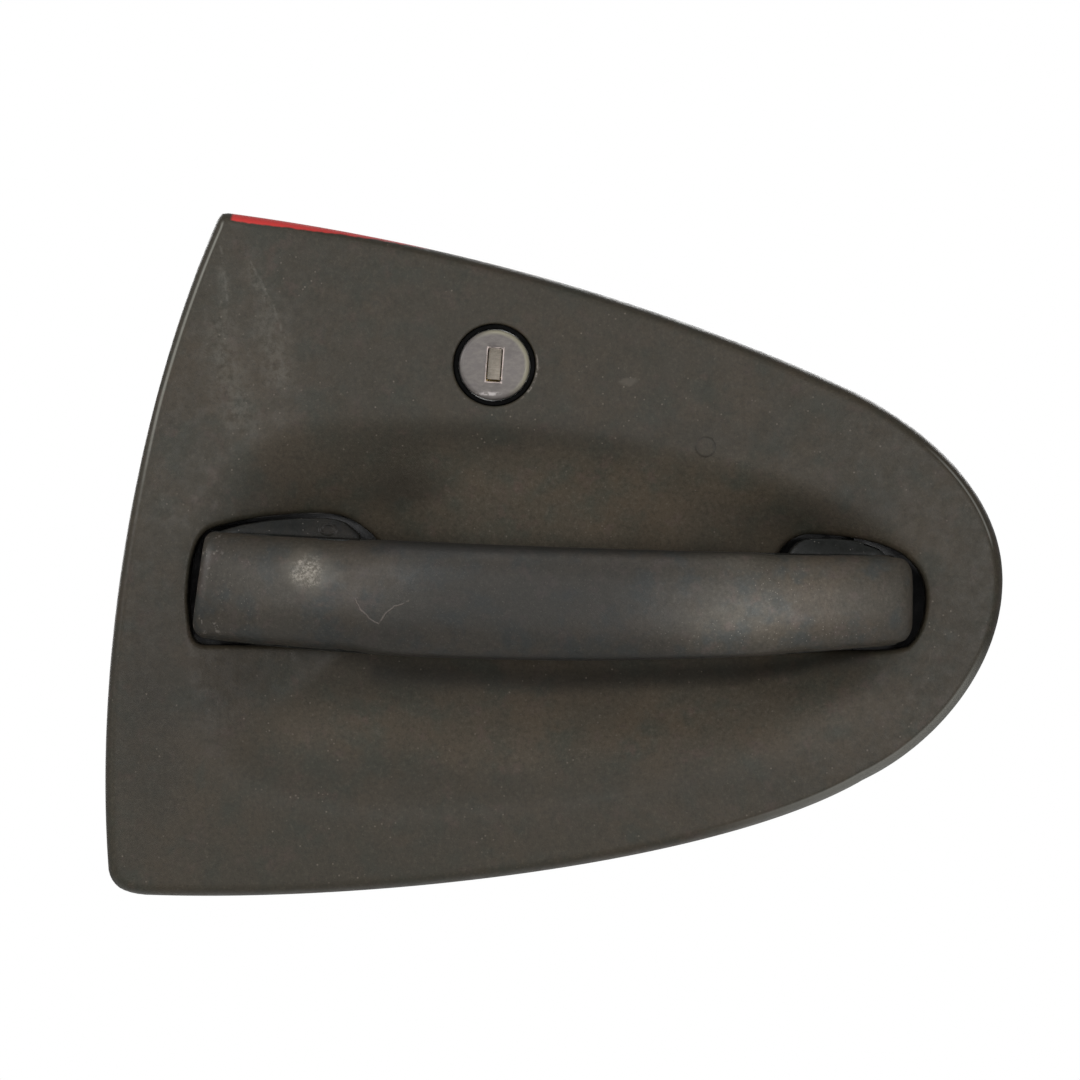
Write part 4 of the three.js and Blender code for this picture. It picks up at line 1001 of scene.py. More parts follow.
    def rough(self, noise, low, high, full=0.7):
        """Lets the roughness follow a noise."""
        self.set(self.shader.inputs["Roughness"], self.span(noise, 0.3, full, low, high))

    def bump(self, height, depth):
        """Presses a height from 0 to 1 into the surface, to a depth in millimetres."""
        node = self.node("Bump", Height=height, Distance=depth * MM)
        if self.bumped:
            self.set(node.inputs["Normal"], self.bumped)
        self.bumped = node.outputs[0]
        self.set(self.shader.inputs["Normal"], self.bumped)


def worn_plastic(finish, grain, tints):
    """Old dark plastic: mottled in several tints, with fine grain."""
    base = finish.color
    for (tint, scale, low, high), seed in zip(tints, (3.1, 8.7, 14.2)):
        finish.lay(finish.spots(low, high, scale, 3.0, 0.6, seed), tint)
    fine = finish.noise(grain, 3.0, 0.8, 1.7)
    finish.lay(finish.span(fine, 0.5, 0.36, 0, 0.45), tuple(c * 0.55 for c in base))
    finish.lay(finish.span(fine, 0.52, 0.68, 0, 0.4), tuple(c * 1.7 + 0.006 for c in base))


# Patches of the panel and of the grip painted lighter (above 0) as painted light, or darker (below 0) as
# painted shade, as the centre and half size of each in X and Z, and its strength.
RECESS_PAINTED_SHADING = [
    ((2, 14), (38, 10), 0.62),
    ((-24, 21), (20, 7), 0.08),
    ((44, 11), (16, 6), 0.06),
    ((4, -45), (66, 9), 0.42),
    ((52, -38), (22, 7), 0.22),
    ((-54, -42), (20, 8), 0.1),
    ((72, 10), (14, 6), -0.34),
    ((-70, 20), (13, 7), -0.12),
    ((-82, 62), (16, 22), 0.05),
    ((-105, -30), (9, 26), -0.34),
    ((-86, -34), (9, 13), -0.3),
    ((0, 31), (44, 3.2), -0.16),
    ((-66, 24), (16, 9), 0.1),
]
GRIP_PAINTED_SHADING = [
    ((-62, -7), (22, 9), 0.16),
    ((60, -12), (27, 11), 0.46),
    ((45, -18), (12, 6), 0.14),
    ((-10, -14), (44, 12), -0.42),
    ((-46, -21), (16, 6), -0.25),
]


def paint_shading(finish, tones, amount, scale, wear_and_highlight, shade_tint):
    """Painted light and shade: lightens or darkens ragged patches of the colour so far."""
    for centre, size, strength in tones:
        share = finish.patch(centre, size, 0.85, finish.ragged(amount, scale))
        finish.lay(share, wear_and_highlight if strength > 0 else shade_tint, abs(strength), "MULTIPLY")


MOULD_MARK = (39, 27.8)  # the centre of a small round mark in the panel's face


def panel_finish():
    finish = Finish("panel_plastic", (0.0335, 0.0282, 0.0192), 0.5, specular=0.28)
    worn_plastic(finish, 900.0, [
        ((0.040, 0.0310, 0.0200), 46.0, 0.42, 0.66),
        ((0.0285, 0.0275, 0.0195), 90.0, 0.46, 0.68),
        ((0.043, 0.0320, 0.0235), 170.0, 0.54, 0.72),
    ])
    # Painted light and shade in ragged patches over the recess and the face round it.
    paint_shading(finish, RECESS_PAINTED_SHADING, 5.0, 60.0, (2.9, 2.9, 3.15), (0.3, 0.3, 0.34))
    # Painted shadow on the recess under the grip.
    grip_shadow = finish.most(
        finish.path([(-46, -31), (0, -33.4), (50, -31)], 5.0, 2.2),
        finish.line((50, -31), (80, -26.5), 4.0, 2.0),
    )
    finish.lay(grip_shadow, (0.006, 0.0052, 0.004), 0.5)
    dust = finish.times(finish.specks(430.0, 0.14, 0.05), finish.spots(0.42, 0.62, 60.0, 3.0, seed=4.4))
    finish.lay(dust, (0.19, 0.16, 0.13), 0.42)
    scuff = finish.patch((19, 44.7), (2.4, 1.0), 0.5, finish.ragged(1.2, 500.0))
    finish.lay(scuff, (0.12, 0.105, 0.085), 0.3)
    # A darker blotch in the recess above the grip.
    dark_blotch = finish.patch((-39, 17), (9, 5), 0.8, finish.ragged(3.0, 150.0))
    finish.lay(dark_blotch, (0.012, 0.0105, 0.008), 0.45)
    outer, inner = (finish.patch(MOULD_MARK, (r, r), soft) for r, soft in ((2.7, 0.14), (2.2, 0.16)))
    finish.lay(finish.less(outer, inner), (0.012, 0.011, 0.009), 0.4)
    finish.lay(lock_chips(finish), (0.26, 0.23, 0.20), 0.5)
    finish.lay(crease_haze(finish), (0.125, 0.115, 0.095), 0.3)
    # Painted highlights along the creases.
    finish.lay(crease_highlight(finish), (0.14, 0.13, 0.11), 0.3)
    # Painted highlight along the rear edge of the rim.
    finish.lay(rear_edge_highlight(finish), (0.165, 0.16, 0.135), 0.8)
    # Painted highlights on the lower front rim and round the nose.
    finish.lay(front_edge_highlight(finish), (0.17, 0.167, 0.15), 0.8)
    finish.lay(red_paint(finish), (0.56, 0.040, 0.036))
    finish.rough(finish.noise(300.0, 4.0, 0.6, 6.0), 0.44, 0.56)
    finish.bump(finish.noise(1900.0, 3.0, 0.6), 0.045)
    finish.bump(finish.noise(230.0, 3.0, 0.5, 5.0), 0.012)
    finish.bump(finish.patch(MOULD_MARK, (2.6, 2.6), 0.12), 0.12)
    return finish.material


def lock_chips(finish):
    """Light chips on the front right edge of the lock's hole."""
    place = finish.ragged(0.5, 500.0)
    centre = (LOCK["x"], LOCK["z"])
    outer, inner = (finish.patch(centre, (r, r), 0.012, place) for r in (11.35, 10.95))
    beside = finish.patch((LOCK["x"] + 9.5, LOCK["z"] - 3.0), (3.4, 6.5), 0.4)
    return finish.times(finish.less(outer, inner), beside, finish.spots(0.46, 0.56, 700.0, 3.0, seed=2.2))


CREASES = [
    [(-80.6, 79), (-76.4, 71), (-72.5, 63.4), (-69.4, 54)],
    [(-86.8, 80), (-85.4, 71), (-85.0, 63)],
]


def crease_highlight(finish):
    """Painted highlights along the two creases of the upper rear corner, as thin broken light lines."""
    place = finish.ragged(0.9, 240.0)
    marks = finish.most(*[finish.path(run, 0.45, 0.35, place) for run in CREASES])
    return finish.times(marks, finish.spots(0.4, 0.6, 420.0, 4.0, 0.65, 3.1))


def crease_haze(finish):
    """A speckled haze on the rear side of both creases, which widens downwards."""
    place = finish.ragged(2.2, 120.0)
    haze = finish.most(
        finish.line((-79, 74), (-73.6, 62), 2.2, 2.2, place),
        finish.line((-74, 60), (-71.5, 46), 5.5, 4.0, place),
        finish.line((-86.6, 74), (-86, 62), 1.6, 1.8, place),
        finish.line((-87, 58), (-82, 36), 7.0, 5.5, place),
    )
    return finish.times(haze, finish.spots(0.38, 0.62, 520.0, 4.0, 0.75, 3.3))


def front_edge_highlight(finish):
    """A painted highlight on the rounded rim below the front end, and a thin painted highlight round the
    nose.
    """
    x, z = finish.axis("X"), finish.axis("Z")
    down = finish.facing((0.42, 0, -0.91))
    rim = finish.times(finish.span(down, 0.22, 0.5), finish.ramp(x, 30, 80), finish.ramp(z, -20, -36))
    across = finish.facing((0.93, 0, 0.37))
    nose = finish.times(finish.span(across, 0.4, 0.52), finish.span(across, 0.72, 0.6))
    nose = finish.times(nose, finish.ramp(z, 0, 6), finish.ramp(z, 30, 20), finish.ramp(x, 70, 90))
    return finish.most(rim, nose)


def rear_edge_highlight(finish):
    """A painted highlight on the edge between the face and the side wall, from the rear corner downwards.
    """
    across = finish.facing((1, 0, 0))
    line = finish.times(finish.span(across, -0.38, -0.5), finish.span(across, -0.68, -0.56))
    z = finish.axis("Z")
    height = finish.times(finish.ramp(z, 4, 44), finish.ramp(z, 87, 85))
    return finish.times(line, height, finish.ramp(finish.axis("X"), -80, -84))


# The painted strip: where the upper edge starts at the rear corner, how it falls away from there
# (its slope, and its bend per metre), and the strip's length and its width at that corner.
PAINT = {"x": -85.0, "z": 88.7, "slope": 0.14, "curve": 0.83, "length": 54, "width": 2.0}


def red_paint(finish):
    """The strip of body paint left along the upper edge, widest at the rear corner."""
    place = finish.ragged(0.45, 420.0, 3.0)
    from_corner = finish.less(finish.axis("X", place), PAINT["x"] * MM)
    sag = finish.times(from_corner, from_corner, PAINT["curve"])
    fall = finish.math("ADD", finish.times(from_corner, PAINT["slope"]), sag)
    top = finish.less(PAINT["z"] * MM, fall)
    width = finish.span(from_corner, 0, PAINT["length"] * MM, PAINT["width"] * MM, 0)
    above = finish.less(finish.axis("Z", place), finish.less(top, width))
    along = finish.times(
        finish.ramp(from_corner, 0.6, 1.6),
        finish.ramp(from_corner, PAINT["length"], PAINT["length"] - 6),
    )
    return finish.times(along, finish.ramp(above, -0.25, 0.25))


# The run of a bent scratch in the grip's face.
SCRATCH = [
    (-51.5, -11.6), (-50.2, -14.4), (-48.0, -16.6), (-45.3, -17.9),
    (-43.6, -15.4), (-41.3, -13.4), (-37.6, -12.2),
]


def grip_finish():
    finish = Finish("grip_plastic", (0.0295, 0.0258, 0.0200), 0.44, specular=0.32)
    worn_plastic(finish, 1000.0, [
        ((0.036, 0.029, 0.0215), 60.0, 0.42, 0.64),
        ((0.023, 0.0240, 0.0220), 110.0, 0.46, 0.66),
        ((0.038, 0.030, 0.0250), 210.0, 0.52, 0.7),
    ])
    x, z = finish.axis("X"), finish.axis("Z", finish.ragged(0.8, 200.0))
    # Painted highlights towards both ends of the grip's face, and painted shade across its middle.
    paint_shading(finish, GRIP_PAINTED_SHADING, 4.0, 90.0, (4.4, 4.4, 4.4), (0.34, 0.4, 0.46))
    dusty = finish.most(
        finish.patch((56, -20), (24, 5), 0.7),
        finish.patch((57, -8), (9, 5), 0.7),
        finish.times(finish.patch((-84, -10), (7, 13), 0.5), 0.3),
    )
    dusty = finish.math("ADD", finish.times(dusty, 0.7), 0.1)
    finish.lay(finish.times(finish.specks(900.0, 0.17, 0.06), dusty), (0.24, 0.215, 0.185))
    # Painted shade along the grip's top and bottom edges in its middle, where they turn away from the
    # lamps.
    middle = finish.times(finish.ramp(x, -60, -40), finish.ramp(x, 84, 66))
    edges = finish.most(finish.ramp(z, -1.5, 1.5), finish.ramp(z, -24.5, -27.5))
    finish.lay(finish.times(edges, middle), (0.007, 0.0078, 0.0082), 0.6)
    # A worn spot near the pull end, partly a painted highlight: a ragged pale patch with a brighter
    # speckled core.
    wear_and_highlight = finish.patch((-63.2, -4.8), (5.0, 4.2), 0.9, finish.ragged(4.2, 170.0))
    core = finish.patch((-64.0, -4.6), (3.2, 3.0), 0.8, finish.ragged(4.0, 300.0, 5.0))
    core = finish.times(core, finish.spots(0.4, 0.62, 1300.0, 4.0, 0.8, 2.0))
    finish.lay(wear_and_highlight, (0.15, 0.132, 0.105), 0.42)
    finish.lay(core, (0.48, 0.44, 0.38), 0.5)
    scratch = finish.path(SCRATCH, 0.3, 0.16, finish.ragged(0.9, 260.0, 9.0))
    scratch = finish.times(scratch, finish.spots(0.3, 0.5, 500.0, seed=12.0))
    finish.lay(scratch, (0.2, 0.165, 0.145), 0.36)
    end = finish.less(1.0, finish.patch((0.6, -10.6), (92.9, 15.9), 0.010))
    end = finish.times(end, finish.ramp(x, -84, -89))
    finish.lay(finish.times(finish.spots(0.58, 0.66, 620.0, 4.0, 0.6, 16.0), end), (0.3, 0.27, 0.24), 0.3)
    finish.rough(finish.noise(260.0, 4.0, 0.6, 6.0), 0.4, 0.5)
    finish.bump(finish.noise(1900.0, 3.0, 0.6), 0.04)
    finish.bump(core, 0.06)
    finish.bump(scratch, 0.05)
    return finish.material


def foot_finish():
    """The grip's base and feet, glossy and darker than the cover, partly their own dark plastic and
    partly painted shade for the pockets they sit in, with a small moulded ring on the pull foot.
    """
    finish = Finish("grip_foot_plastic", (0.0075, 0.0082, 0.0072), 0.5, specular=0.13)
    tints = [((0.02, 0.017, 0.014), 120.0, 0.45, 0.75), ((0.010, 0.010, 0.010), 300.0, 0.5, 0.7)]
    worn_plastic(finish, 1800.0, tints)
    finish.lay(finish.specks(620.0, 0.13, 0.05), (0.2, 0.18, 0.16), 0.4)
    finish.rough(finish.noise(400.0, 3.0, seed=2.0), 0.32, 0.46)
    ring = finish.patch((-58.8, 6.4), (2.2, 1.5), 0.25, finish.ragged(0.4, 300.0))
    finish.bump(finish.less(ring, finish.patch((-58.8, 6.4), (1.6, 1.0), 0.3)), 0.18)
    finish.bump(finish.noise(1500.0, 3.0, 0.6), 0.02)
    return finish.material


def moulded(name, color, rough, grain=1700.0, depth=0.03, dusty=0.25, specular=0.5):
    """Plain moulded plastic or rubber."""
    finish = Finish(name, color, rough, specular=specular)
    lighter = tuple(c * 1.45 + 0.004 for c in color)
    darker = tuple(c * 0.7 for c in color)
    worn_plastic(finish, grain, [(lighter, 70.0, 0.5, 0.8), (darker, 140.0, 0.52, 0.8)])
    dust = finish.times(finish.specks(430.0, 0.13, 0.04), finish.spots(0.48, 0.66, 45.0, 3.0, seed=4.0))
    finish.lay(dust, (0.32, 0.29, 0.25), dusty)
    finish.rough(finish.noise(220.0, 3.0, seed=9.0), rough - 0.08, rough + 0.12)
    finish.bump(finish.noise(grain, 3.0, 0.6), depth)
    return finish.material


def metal(name, color, rough, stretch=None, tarnish=(0.12, 0.09, 0.06), stained=0.35):
    """Plated or cast metal, with fine marks, dull patches and some tarnish."""
    finish = Finish(name, color, rough, 1.0)
    marks = finish.noise(900.0, 4.0, 0.7, 2.5, stretch)
    finish.lay(finish.span(marks, 0.35, 0.7, 0, 0.6), tuple(c * 0.62 for c in color))
    stains = finish.span(finish.noise(120.0, 5.0, 0.65, 5.5), 0.56, 0.74, 0, stained)
    finish.lay(stains, tarnish)
    finish.rough(marks, rough - 0.1, rough + 0.16, 0.75)
    finish.set(finish.shader.inputs["Metallic"], finish.span(stains, 0, 1, 1.0, 0.5))
    finish.bump(marks, 0.02)
    return finish.material


def lock_face_finish():
    """The lock's pale face: rubbed grey, with a yellowish painted highlight on one side of the rim and
    painted shade on the other, and chipped bright round the slot.
    """
    finish = Finish("lock_face_metal", (0.105, 0.092, 0.086), 0.5, 0.12)
    tilt = math.radians(LOCK["tilt"])
    marks = finish.noise(480.0, 4.0, 0.65, 3.0, (1.0, 1.0, 2.2))
    finish.lay(finish.span(marks, 0.35, 0.7), (0.165, 0.148, 0.136))
    blot = finish.span(finish.noise(210.0, 4.0, 0.6, 8.0), 0.5, 0.72, 0, 0.7)
    finish.lay(blot, (0.105, 0.090, 0.092))
    away = finish.vector("SUBTRACT", finish.ragged(0.3, 500.0), (LOCK["x"] * MM, 0, LOCK["z"] * MM))
    away = finish.vector("MULTIPLY", away, (1, 0, 1))
    across = finish.vector("DOT_PRODUCT", away, (math.cos(tilt), 0, -math.sin(tilt)))
    up = finish.vector("DOT_PRODUCT", away, (math.sin(tilt), 0, math.cos(tilt)))
    # Painted highlight on the rim's lit side, and painted shade on its other side.
    rim = finish.ramp(finish.vector("LENGTH", away), 7.5, 8.6)
    lit = finish.ramp(finish.math("ADD", across, finish.times(up, 0.7)), -4, 7)
    finish.lay(finish.times(rim, lit), (0.30, 0.28, 0.20), 0.8)
    finish.lay(finish.times(rim, finish.less(1.0, lit)), (0.10, 0.09, 0.085), 0.55)
    beside, above = (
        finish.less(finish.math("ABSOLUTE", value), half * MM) for value, half in zip((across, up), SLOT)
    )
    near = finish.ramp(finish.math("ABSOLUTE", finish.most(beside, above)), 0.42, 0.12)
    near = finish.times(near, finish.spots(0.36, 0.5, 650.0, 3.0, seed=6.0))
    finish.lay(near, (0.62, 0.52, 0.48), 0.85)
    smear_at = (LOCK["x"] - 1.6, LOCK["z"] - 7.45)
    smear = finish.patch(smear_at, (2.7, 0.42), 0.6, finish.ragged(0.6, 500.0))
    smear = finish.times(smear, finish.spots(0.35, 0.5, 900.0, seed=11.0))
    finish.lay(smear, (0.5, 0.46, 0.45), 0.7)
    finish.rough(marks, 0.38, 0.58)
    finish.bump(marks, 0.03)
    finish.bump(finish.noise(1800.0, 3.0), 0.015)
    return finish.material


# Each finish by its plain name, without the number that Blender adds where the CAD has that name too.
finishes = {
    made.name.split(".")[0]: made
    for made in (
        panel_finish(),
        grip_finish(),
        foot_finish(),
        moulded("frame_plastic", (0.022, 0.022, 0.023), 0.5),
        moulded("rubber", (0.011, 0.011, 0.011), 0.75, 1300.0, 0.04),
        moulded("seal_rubber", (0.002, 0.002, 0.002), 0.8, 1300.0, 0.04, 0.05, 0.08),
        moulded("bush_plastic", (0.62, 0.58, 0.48), 0.45, dusty=0.1),
        moulded("clip_plastic", (0.66, 0.44, 0.06), 0.4, dusty=0.1),
        lock_face_finish(),
        metal("shutter_metal", (0.33, 0.295, 0.25), 0.5, (1.0, 1.0, 3.0), stained=0.5),
        metal("zinc", (0.50, 0.50, 0.49), 0.42, tarnish=(0.30, 0.29, 0.27)),
        metal("steel", (0.62, 0.60, 0.55), 0.32, (3.0, 1.0, 1.0), (0.30, 0.20, 0.10), 0.3),
        metal("black_steel", (0.06, 0.06, 0.062), 0.45, tarnish=(0.05, 0.03, 0.02)),
        metal("spring_steel", (0.26, 0.26, 0.27), 0.34, tarnish=(0.14, 0.08, 0.05)),
        metal("brass", (0.62, 0.43, 0.17), 0.3, (1.0, 3.0, 1.0), (0.16, 0.10, 0.04)),
    )
}

# ---------------------------------------------------------------- the pieces


def place(piece, body, slot, *nodes, finish=None):
    """Gives a piece its finish and its body, and hides the CAD nodes that it stands for."""
    piece.data.materials.clear()
    piece.data.materials.append(finishes[finish or slot])
    if nodes:
        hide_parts(*nodes)
    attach(piece, body)


def turned_part(node, body, slot, axis, centre, profile, sides=48, finish=None):
    """A lathed piece in place of a CAD node."""
    made = lathe(node + "_finished", axis, centre, profile, sides)
    place(made, body, slot, node, finish=finish)


def spring_part(node, wire, radius):
    """A wire spring in place of a CAD node, from the handle's body to a moving one."""
    spring = tube(node + "_finished", wire, radius)
    spring.data.materials.append(finishes["spring_steel"])
    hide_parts(node)
    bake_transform(spring)


def finish_node(name, slot, rounding):
    """Keeps a CAD node, with broken edges and its own finish."""
    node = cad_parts[name]
    node.data.materials.clear()
    node.data.materials.append(finishes[slot])
    for polygon in node.data.polygons:
        polygon.use_smooth = True
    custom = node.data.attributes.get("custom_normal")
    if custom:
        node.data.attributes.remove(custom)
    node.modifiers.new("weld", "WELD").merge_threshold = 2e-6
    flat = node.modifiers.new("flat", "DECIMATE")
    flat.decimate_type, flat.angle_limit = "DISSOLVE", math.radians(0.6)
    edges = node.modifiers.new("edges", "BEVEL")
    edges.width, edges.segments = rounding * MM, 2
    edges.limit_method, edges.angle_limit = "ANGLE", math.radians(34)
    node.modifiers.new("shade", "WEIGHTED_NORMAL").keep_sharp = False


# Each point of the gasket's section, as its distance inside the outline and its Y.
GASKET = [
    (0.5, -0.2), (0.5, -1.6), (0.7, -1.8), (4.2, -1.8),
    (4.4, -1.6), (4.4, -0.2), (4.2, 0), (0.7, 0),
]
BUMP_STOP = [
    (0, 0.3), (3.5, 0.3), (4, 0.8), (4, 2), (3.6, 2.6),
    (3.6, 3.4), (4, 4), (4, 5.4), (3.5, 5.9), (0, 5.9),
]


def build_panel():
    place(panel_shell(), ROOT, "panel_plastic", "panel")
    place(panel_ribs(), ROOT, "panel_plastic")
    place(panel_bosses(), ROOT, "panel_plastic")
    builder = Builder()
    rows = builder.loft([lifted(inset_loop(inset), y) for inset, y in GASKET], caps=False)
    builder.strip(rows[-1], rows[0])
    place(builder.made("gasket_ring", 60), ROOT, "rubber", "panel_gasket")
    finish_node("carrier", "frame_plastic", 0.35)
    for i, (x, z) in enumerate(PANEL_SCREWS, 1):
        made = screw(f"carrier_screw_{i}_finished", (x, 9.1, z), 3.8, 1.4, 12.4)
        place(made, ROOT, "steel", f"carrier_screw_{i}")
    for i, (x, z) in enumerate(STUDS, 1):
        place(stud(f"mounting_stud_{i}_finished", x, z), ROOT, "steel", f"mounting_stud_{i}")
    for i, x in enumerate((-84, -55), 1):
        turned_part(f"bump_stop_{i}", ROOT, "rubber", "Y", (x, 0, -2), BUMP_STOP)


def build_hinge():
    centre = (HINGE["x"], HINGE["y"], 0)
    pin = [(0, -26.6), (1.7, -26.6), (2, -26.3), (2, -25.4), (1.5, -25.4), (1.5, -24.5), (2, -24.5)]
    pin += [(2, 1.9), (3.2, 1.9), (3.4, 2.1), (3.3, 2.7), (2.6, 3.1), (1.2, 3.2), (0, 3.2)]
    turned_part("hinge_pin", ROOT, "steel", "Z", centre, pin, finish="black_steel")
    ring = [(x + HINGE["x"], y + HINGE["y"]) for x, y in open_ring(1.6, 3.6, 80, 90)]
    clip = prism("hinge_pin_clip_finished", "Z", ring, -25.3, -24.6, 0.1)
    place(clip, ROOT, "spring_steel", "hinge_pin_clip")
    for name, z in (("upper", -2.2), ("lower", -23.4)):
        profile = [(2.15, z + 0.2), (2.35, z), (2.8, z), (2.98, z + 0.2), (2.98, z + 3.4)]
        profile += [(2.8, z + 3.6), (2.35, z + 3.6), (2.15, z + 3.4)]
        turned_part("hinge_bush_" + name, ROOT, "bush_plastic", "Z", centre, profile)


def build_grip():
    place(grip_cover(), "grip", "grip_plastic", "grip_cover")
    place(grip_base(), "grip", "grip_plastic", "grip_base", finish="grip_foot_plastic")
    finish_node("grip_stiffener", "steel", 0.2)
    for i, x in enumerate(GRIP_SCREWS, 1):
        made = screw(f"grip_screw_{i}_finished", (x, -6.8, GRIP_MIDDLE_Z), 3.2, 1.4, 14)
        place(made, "grip", "steel", f"grip_screw_{i}")
    side = [(-11.7, -16), (36.6, -16), (38, -14.6), (38, -6.2), (37, -5.2), (35.5, -5.2), (34.5, -6.2)]
    side += [(34.5, -10), (-11.7, -10)]
    made = plate("pull_arm_finished", "X", side, [], -74, -64, 0.5)
    place(made, "grip", "steel", "pull_arm")
    rivet = round_profile(1.5, -20, 8, 0.3)
    turned_part("pull_arm_rivet", "grip", "steel", "Z", (-69, -5, 0), rivet, 32)


CRANK_HUB = [
    (2.7, -81.3), (2.9, -81.5), (4.8, -81.5), (5.2, -81.1),
    (5.2, -54.9), (4.8, -54.5), (2.9, -54.5), (2.7, -54.7),
]
CRANK_PIN = [
    (0, -88.4), (2.2, -88.4), (2.5, -88.1), (2.5, -87.2), (1.9, -87.2), (1.9, -86.3), (2.5, -86.3),
    (2.5, -50.2), (3.8, -50.2), (4, -50), (3.9, -49.3), (3, -48.9), (1.4, -48.8), (0, -48.8),
]
ROD_CLIP = [
    (1.3, -81), (1.5, -81.2), (2.4, -81.2), (2.6, -80.9), (2.6, -76.7), (4, -76.7), (4.2, -76.5),
    (4.2, -75.6), (4, -75.4), (2.6, -75.4), (2.5, -73.7), (2.3, -73.5), (1.5, -73.5), (1.3, -73.7),
]


def build_crank():
    y0, z0 = CRANK["y"], CRANK["z"]
    lean = math.radians(CRANK["lean"])
    tip = (CRANK["reach"] * math.sin(lean), -CRANK["reach"] * math.cos(lean))
    body = lathe("bell_crank_casting", "X", (0, y0, z0), CRANK_HUB)
    eye_y, eye_z = y0 + ROD_EYE[0], z0 + ROD_EYE[1]
    arms = [
        (lever_shape(0, 0, 5, *tip, 2), [], -71, -67),
        (lever_shape(0, 0, 5, *ROD_EYE, 4.5), [circle(eye_y, eye_z, 2.9, 40)], -80.5, -77),
        (lever_shape(0, 0, 5, *WEIGHT_EYE, 3.4), [], -71, -67),
    ]
    for shape, holes, low, high in arms:
        bore = circle(y0, z0, 3.7, 40)
        carve(body, plate("arm", "X", shape + (y0, z0), [bore, *holes], low, high, 0.4), "UNION")
    place(body, "crank", "zinc", "bell_crank")
    finish_node("counterweight", "zinc", 0.6)
    at = (0, y0 + WEIGHT_EYE[0], z0 + WEIGHT_EYE[1])
    rivet = round_profile(1.4, -75.8, -57.2, 0.4)
    turned_part("counterweight_rivet", "crank", "steel", "X", at, rivet, 32)
    turned_part("latch_rod_clip", "crank", "clip_plastic", "X", (0, eye_y, eye_z), ROD_CLIP)
    turned_part("crank_pin", ROOT, "steel", "X", (0, y0, z0), CRANK_PIN)
    ring = [(y + y0, z + z0) for y, z in open_ring(2, 4.2, 80, 0)]
    clip = prism("crank_pin_clip_finished", "X", ring, -87.1, -86.4, 0.1)
    place(clip, ROOT, "spring_steel", "crank_pin_clip")
    ends = (-65.4, 3, 10.5), (-56.4, -10, 7)
    wire = coil(lambda y, z, s: (-65.2 + 8.6 * s, y, z), 6.6, 4.05, 70, *ends) + (0, y0, z0)
    spring_part("crank_spring", wire, 0.7)


def build_lock():
    x0, z0 = LOCK["x"], LOCK["z"]
    centre = (x0, 0, z0)
    turned_part("lock_housing", ROOT, "zinc", "Y", centre, HOUSING, 72)
    seal = lathe("lock_seal_ring", "Y", centre, SEAL, 96)
    place(seal, ROOT, "rubber", "lock_seal", finish="seal_rubber")
    place(housing_clip(), ROOT, "spring_steel", "lock_housing_clip")
    place(lock_face(), "lock_cylinder", "lock_face_metal", "lock_face")
    finish_node("lock_plug", "zinc", 0.15)
    for i in range(1, 8):
        finish_node(f"lock_wafer_{i}", "brass", 0.1)
    place(cam(), "lock_cylinder", "zinc", "lock_cam")
    ring = prism("lock_cam_clip_finished", "Y", open_ring(2.75, 5.6, 70, -90), 36.1, 36.9, 0.1)
    place(turned_about_lock(ring), "lock_cylinder", "spring_steel", "lock_cam_clip")
    place(shutter(), "shutter", "lock_face_metal", "key_shutter", finish="shutter_metal")
    ends = (2, 24.1, -14.5), (-2, 32.4, 15.5)
    wire = coil(lambda x, z, s: (x, 24.2 + 5.6 * s, z), 10.9, 3.5, -60, *ends) + centre
    spring_part("lock_return_spring", wire, 0.6)


build_panel()
build_hinge()
build_grip()
build_crank()
build_lock()

# ---------------------------------------------------------------- the studio

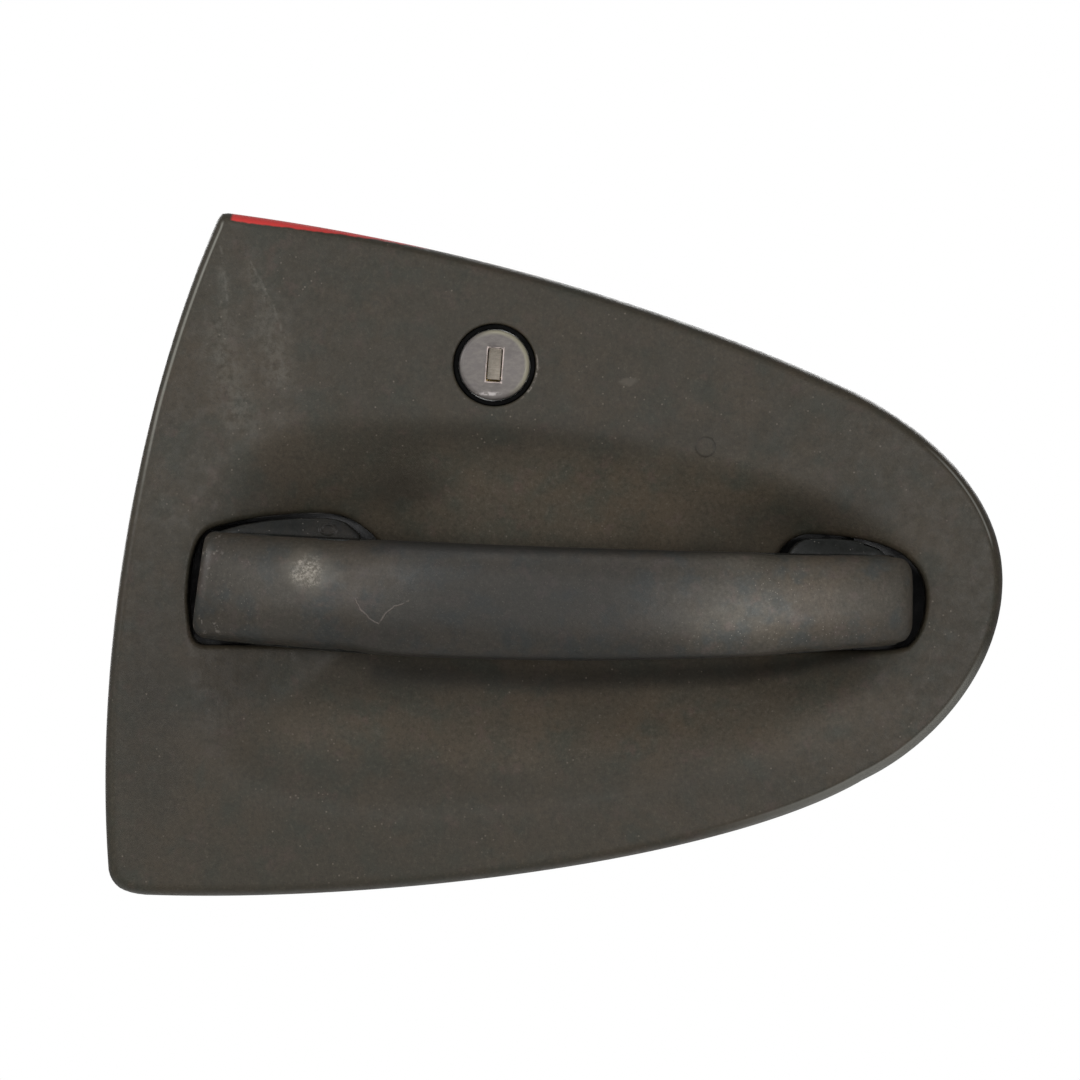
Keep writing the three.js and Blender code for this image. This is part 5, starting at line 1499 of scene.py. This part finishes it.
WORLD_LIGHT = 0.28  # what the white surroundings give as light
DISTANCE = 2.0  # metres from the camera to the panel's face
FRAME_WIDTH = 0.2808  # metres across the picture at that distance
SENSOR = 36.0
AIM = (-3.9 * MM, -5 * MM, 3.64 * MM)
LAMPS = [
    ("left", (-0.44, -1.14, 0.22), 0.26, 4.0),
    ("right", (0.42, -1.16, -0.06), 0.26, 4.3),
    ("side", (-1.15, -0.38, 0.45), 0.4, 6.0),
    ("top", (0.0, -0.8, 0.95), 0.6, 2.5),
    ("rim", (0.85, -0.32, -0.7), 0.4, 7.0),
    ("back", (0.35, 1.3, 0.45), 0.6, 6.0),
    ("back_left", (-0.45, 1.3, 0.25), 0.6, 5.0),
]
FLOOR = {"r": 460, "z": -250, "thick": 10}


def camera():
    data = bpy.data.cameras.new("camera")
    data.sensor_width = SENSOR
    data.lens = SENSOR * DISTANCE / FRAME_WIDTH
    eye = bpy.data.objects.new("camera", data)
    eye.location = (AIM[0], AIM[1] - DISTANCE, AIM[2])
    eye.rotation_euler = (math.pi / 2, 0, 0)
    bpy.context.scene.collection.objects.link(eye)
    bpy.context.scene.camera = eye


def lamp(name, place, size, power):
    """A round lamp that faces the handle; its place and size are in metres, its power in watts."""
    data = bpy.data.lights.new(name, "AREA")
    data.shape, data.size, data.energy = "DISK", size, power
    light = bpy.data.objects.new(name, data)
    light.location = place
    light.rotation_euler = (-Vector(place)).to_track_quat("-Z", "Y").to_euler()
    bpy.context.scene.collection.objects.link(light)


def studio():
    world = bpy.data.worlds.new("studio")
    bpy.context.scene.world = world
    world.use_nodes = True
    nodes, links = world.node_tree.nodes, world.node_tree.links
    lit = nodes["Background"]
    lit.inputs["Strength"].default_value = WORLD_LIGHT
    seen = nodes.new("ShaderNodeBackground")
    seen.inputs["Strength"].default_value = 1.0
    for shader in (lit, seen):
        shader.inputs["Color"].default_value = (1, 1, 1, 1)
    path, either = nodes.new("ShaderNodeLightPath"), nodes.new("ShaderNodeMixShader")
    links.new(path.outputs["Is Camera Ray"], either.inputs[0])
    links.new(lit.outputs[0], either.inputs[1])
    links.new(seen.outputs[0], either.inputs[2])
    links.new(either.outputs[0], nodes["World Output"].inputs["Surface"])
    for name, place, size, power in LAMPS:
        lamp(name, place, size, power)
    floor = prism("floor", "Z", circle(0, 0, FLOOR["r"], 96), FLOOR["z"] - FLOOR["thick"], FLOOR["z"])
    floor.data.materials.append(Finish("floor", (0.82, 0.82, 0.81), 0.7).material)


camera()
studio()
bpy.context.scene.view_settings.view_transform = "Standard"
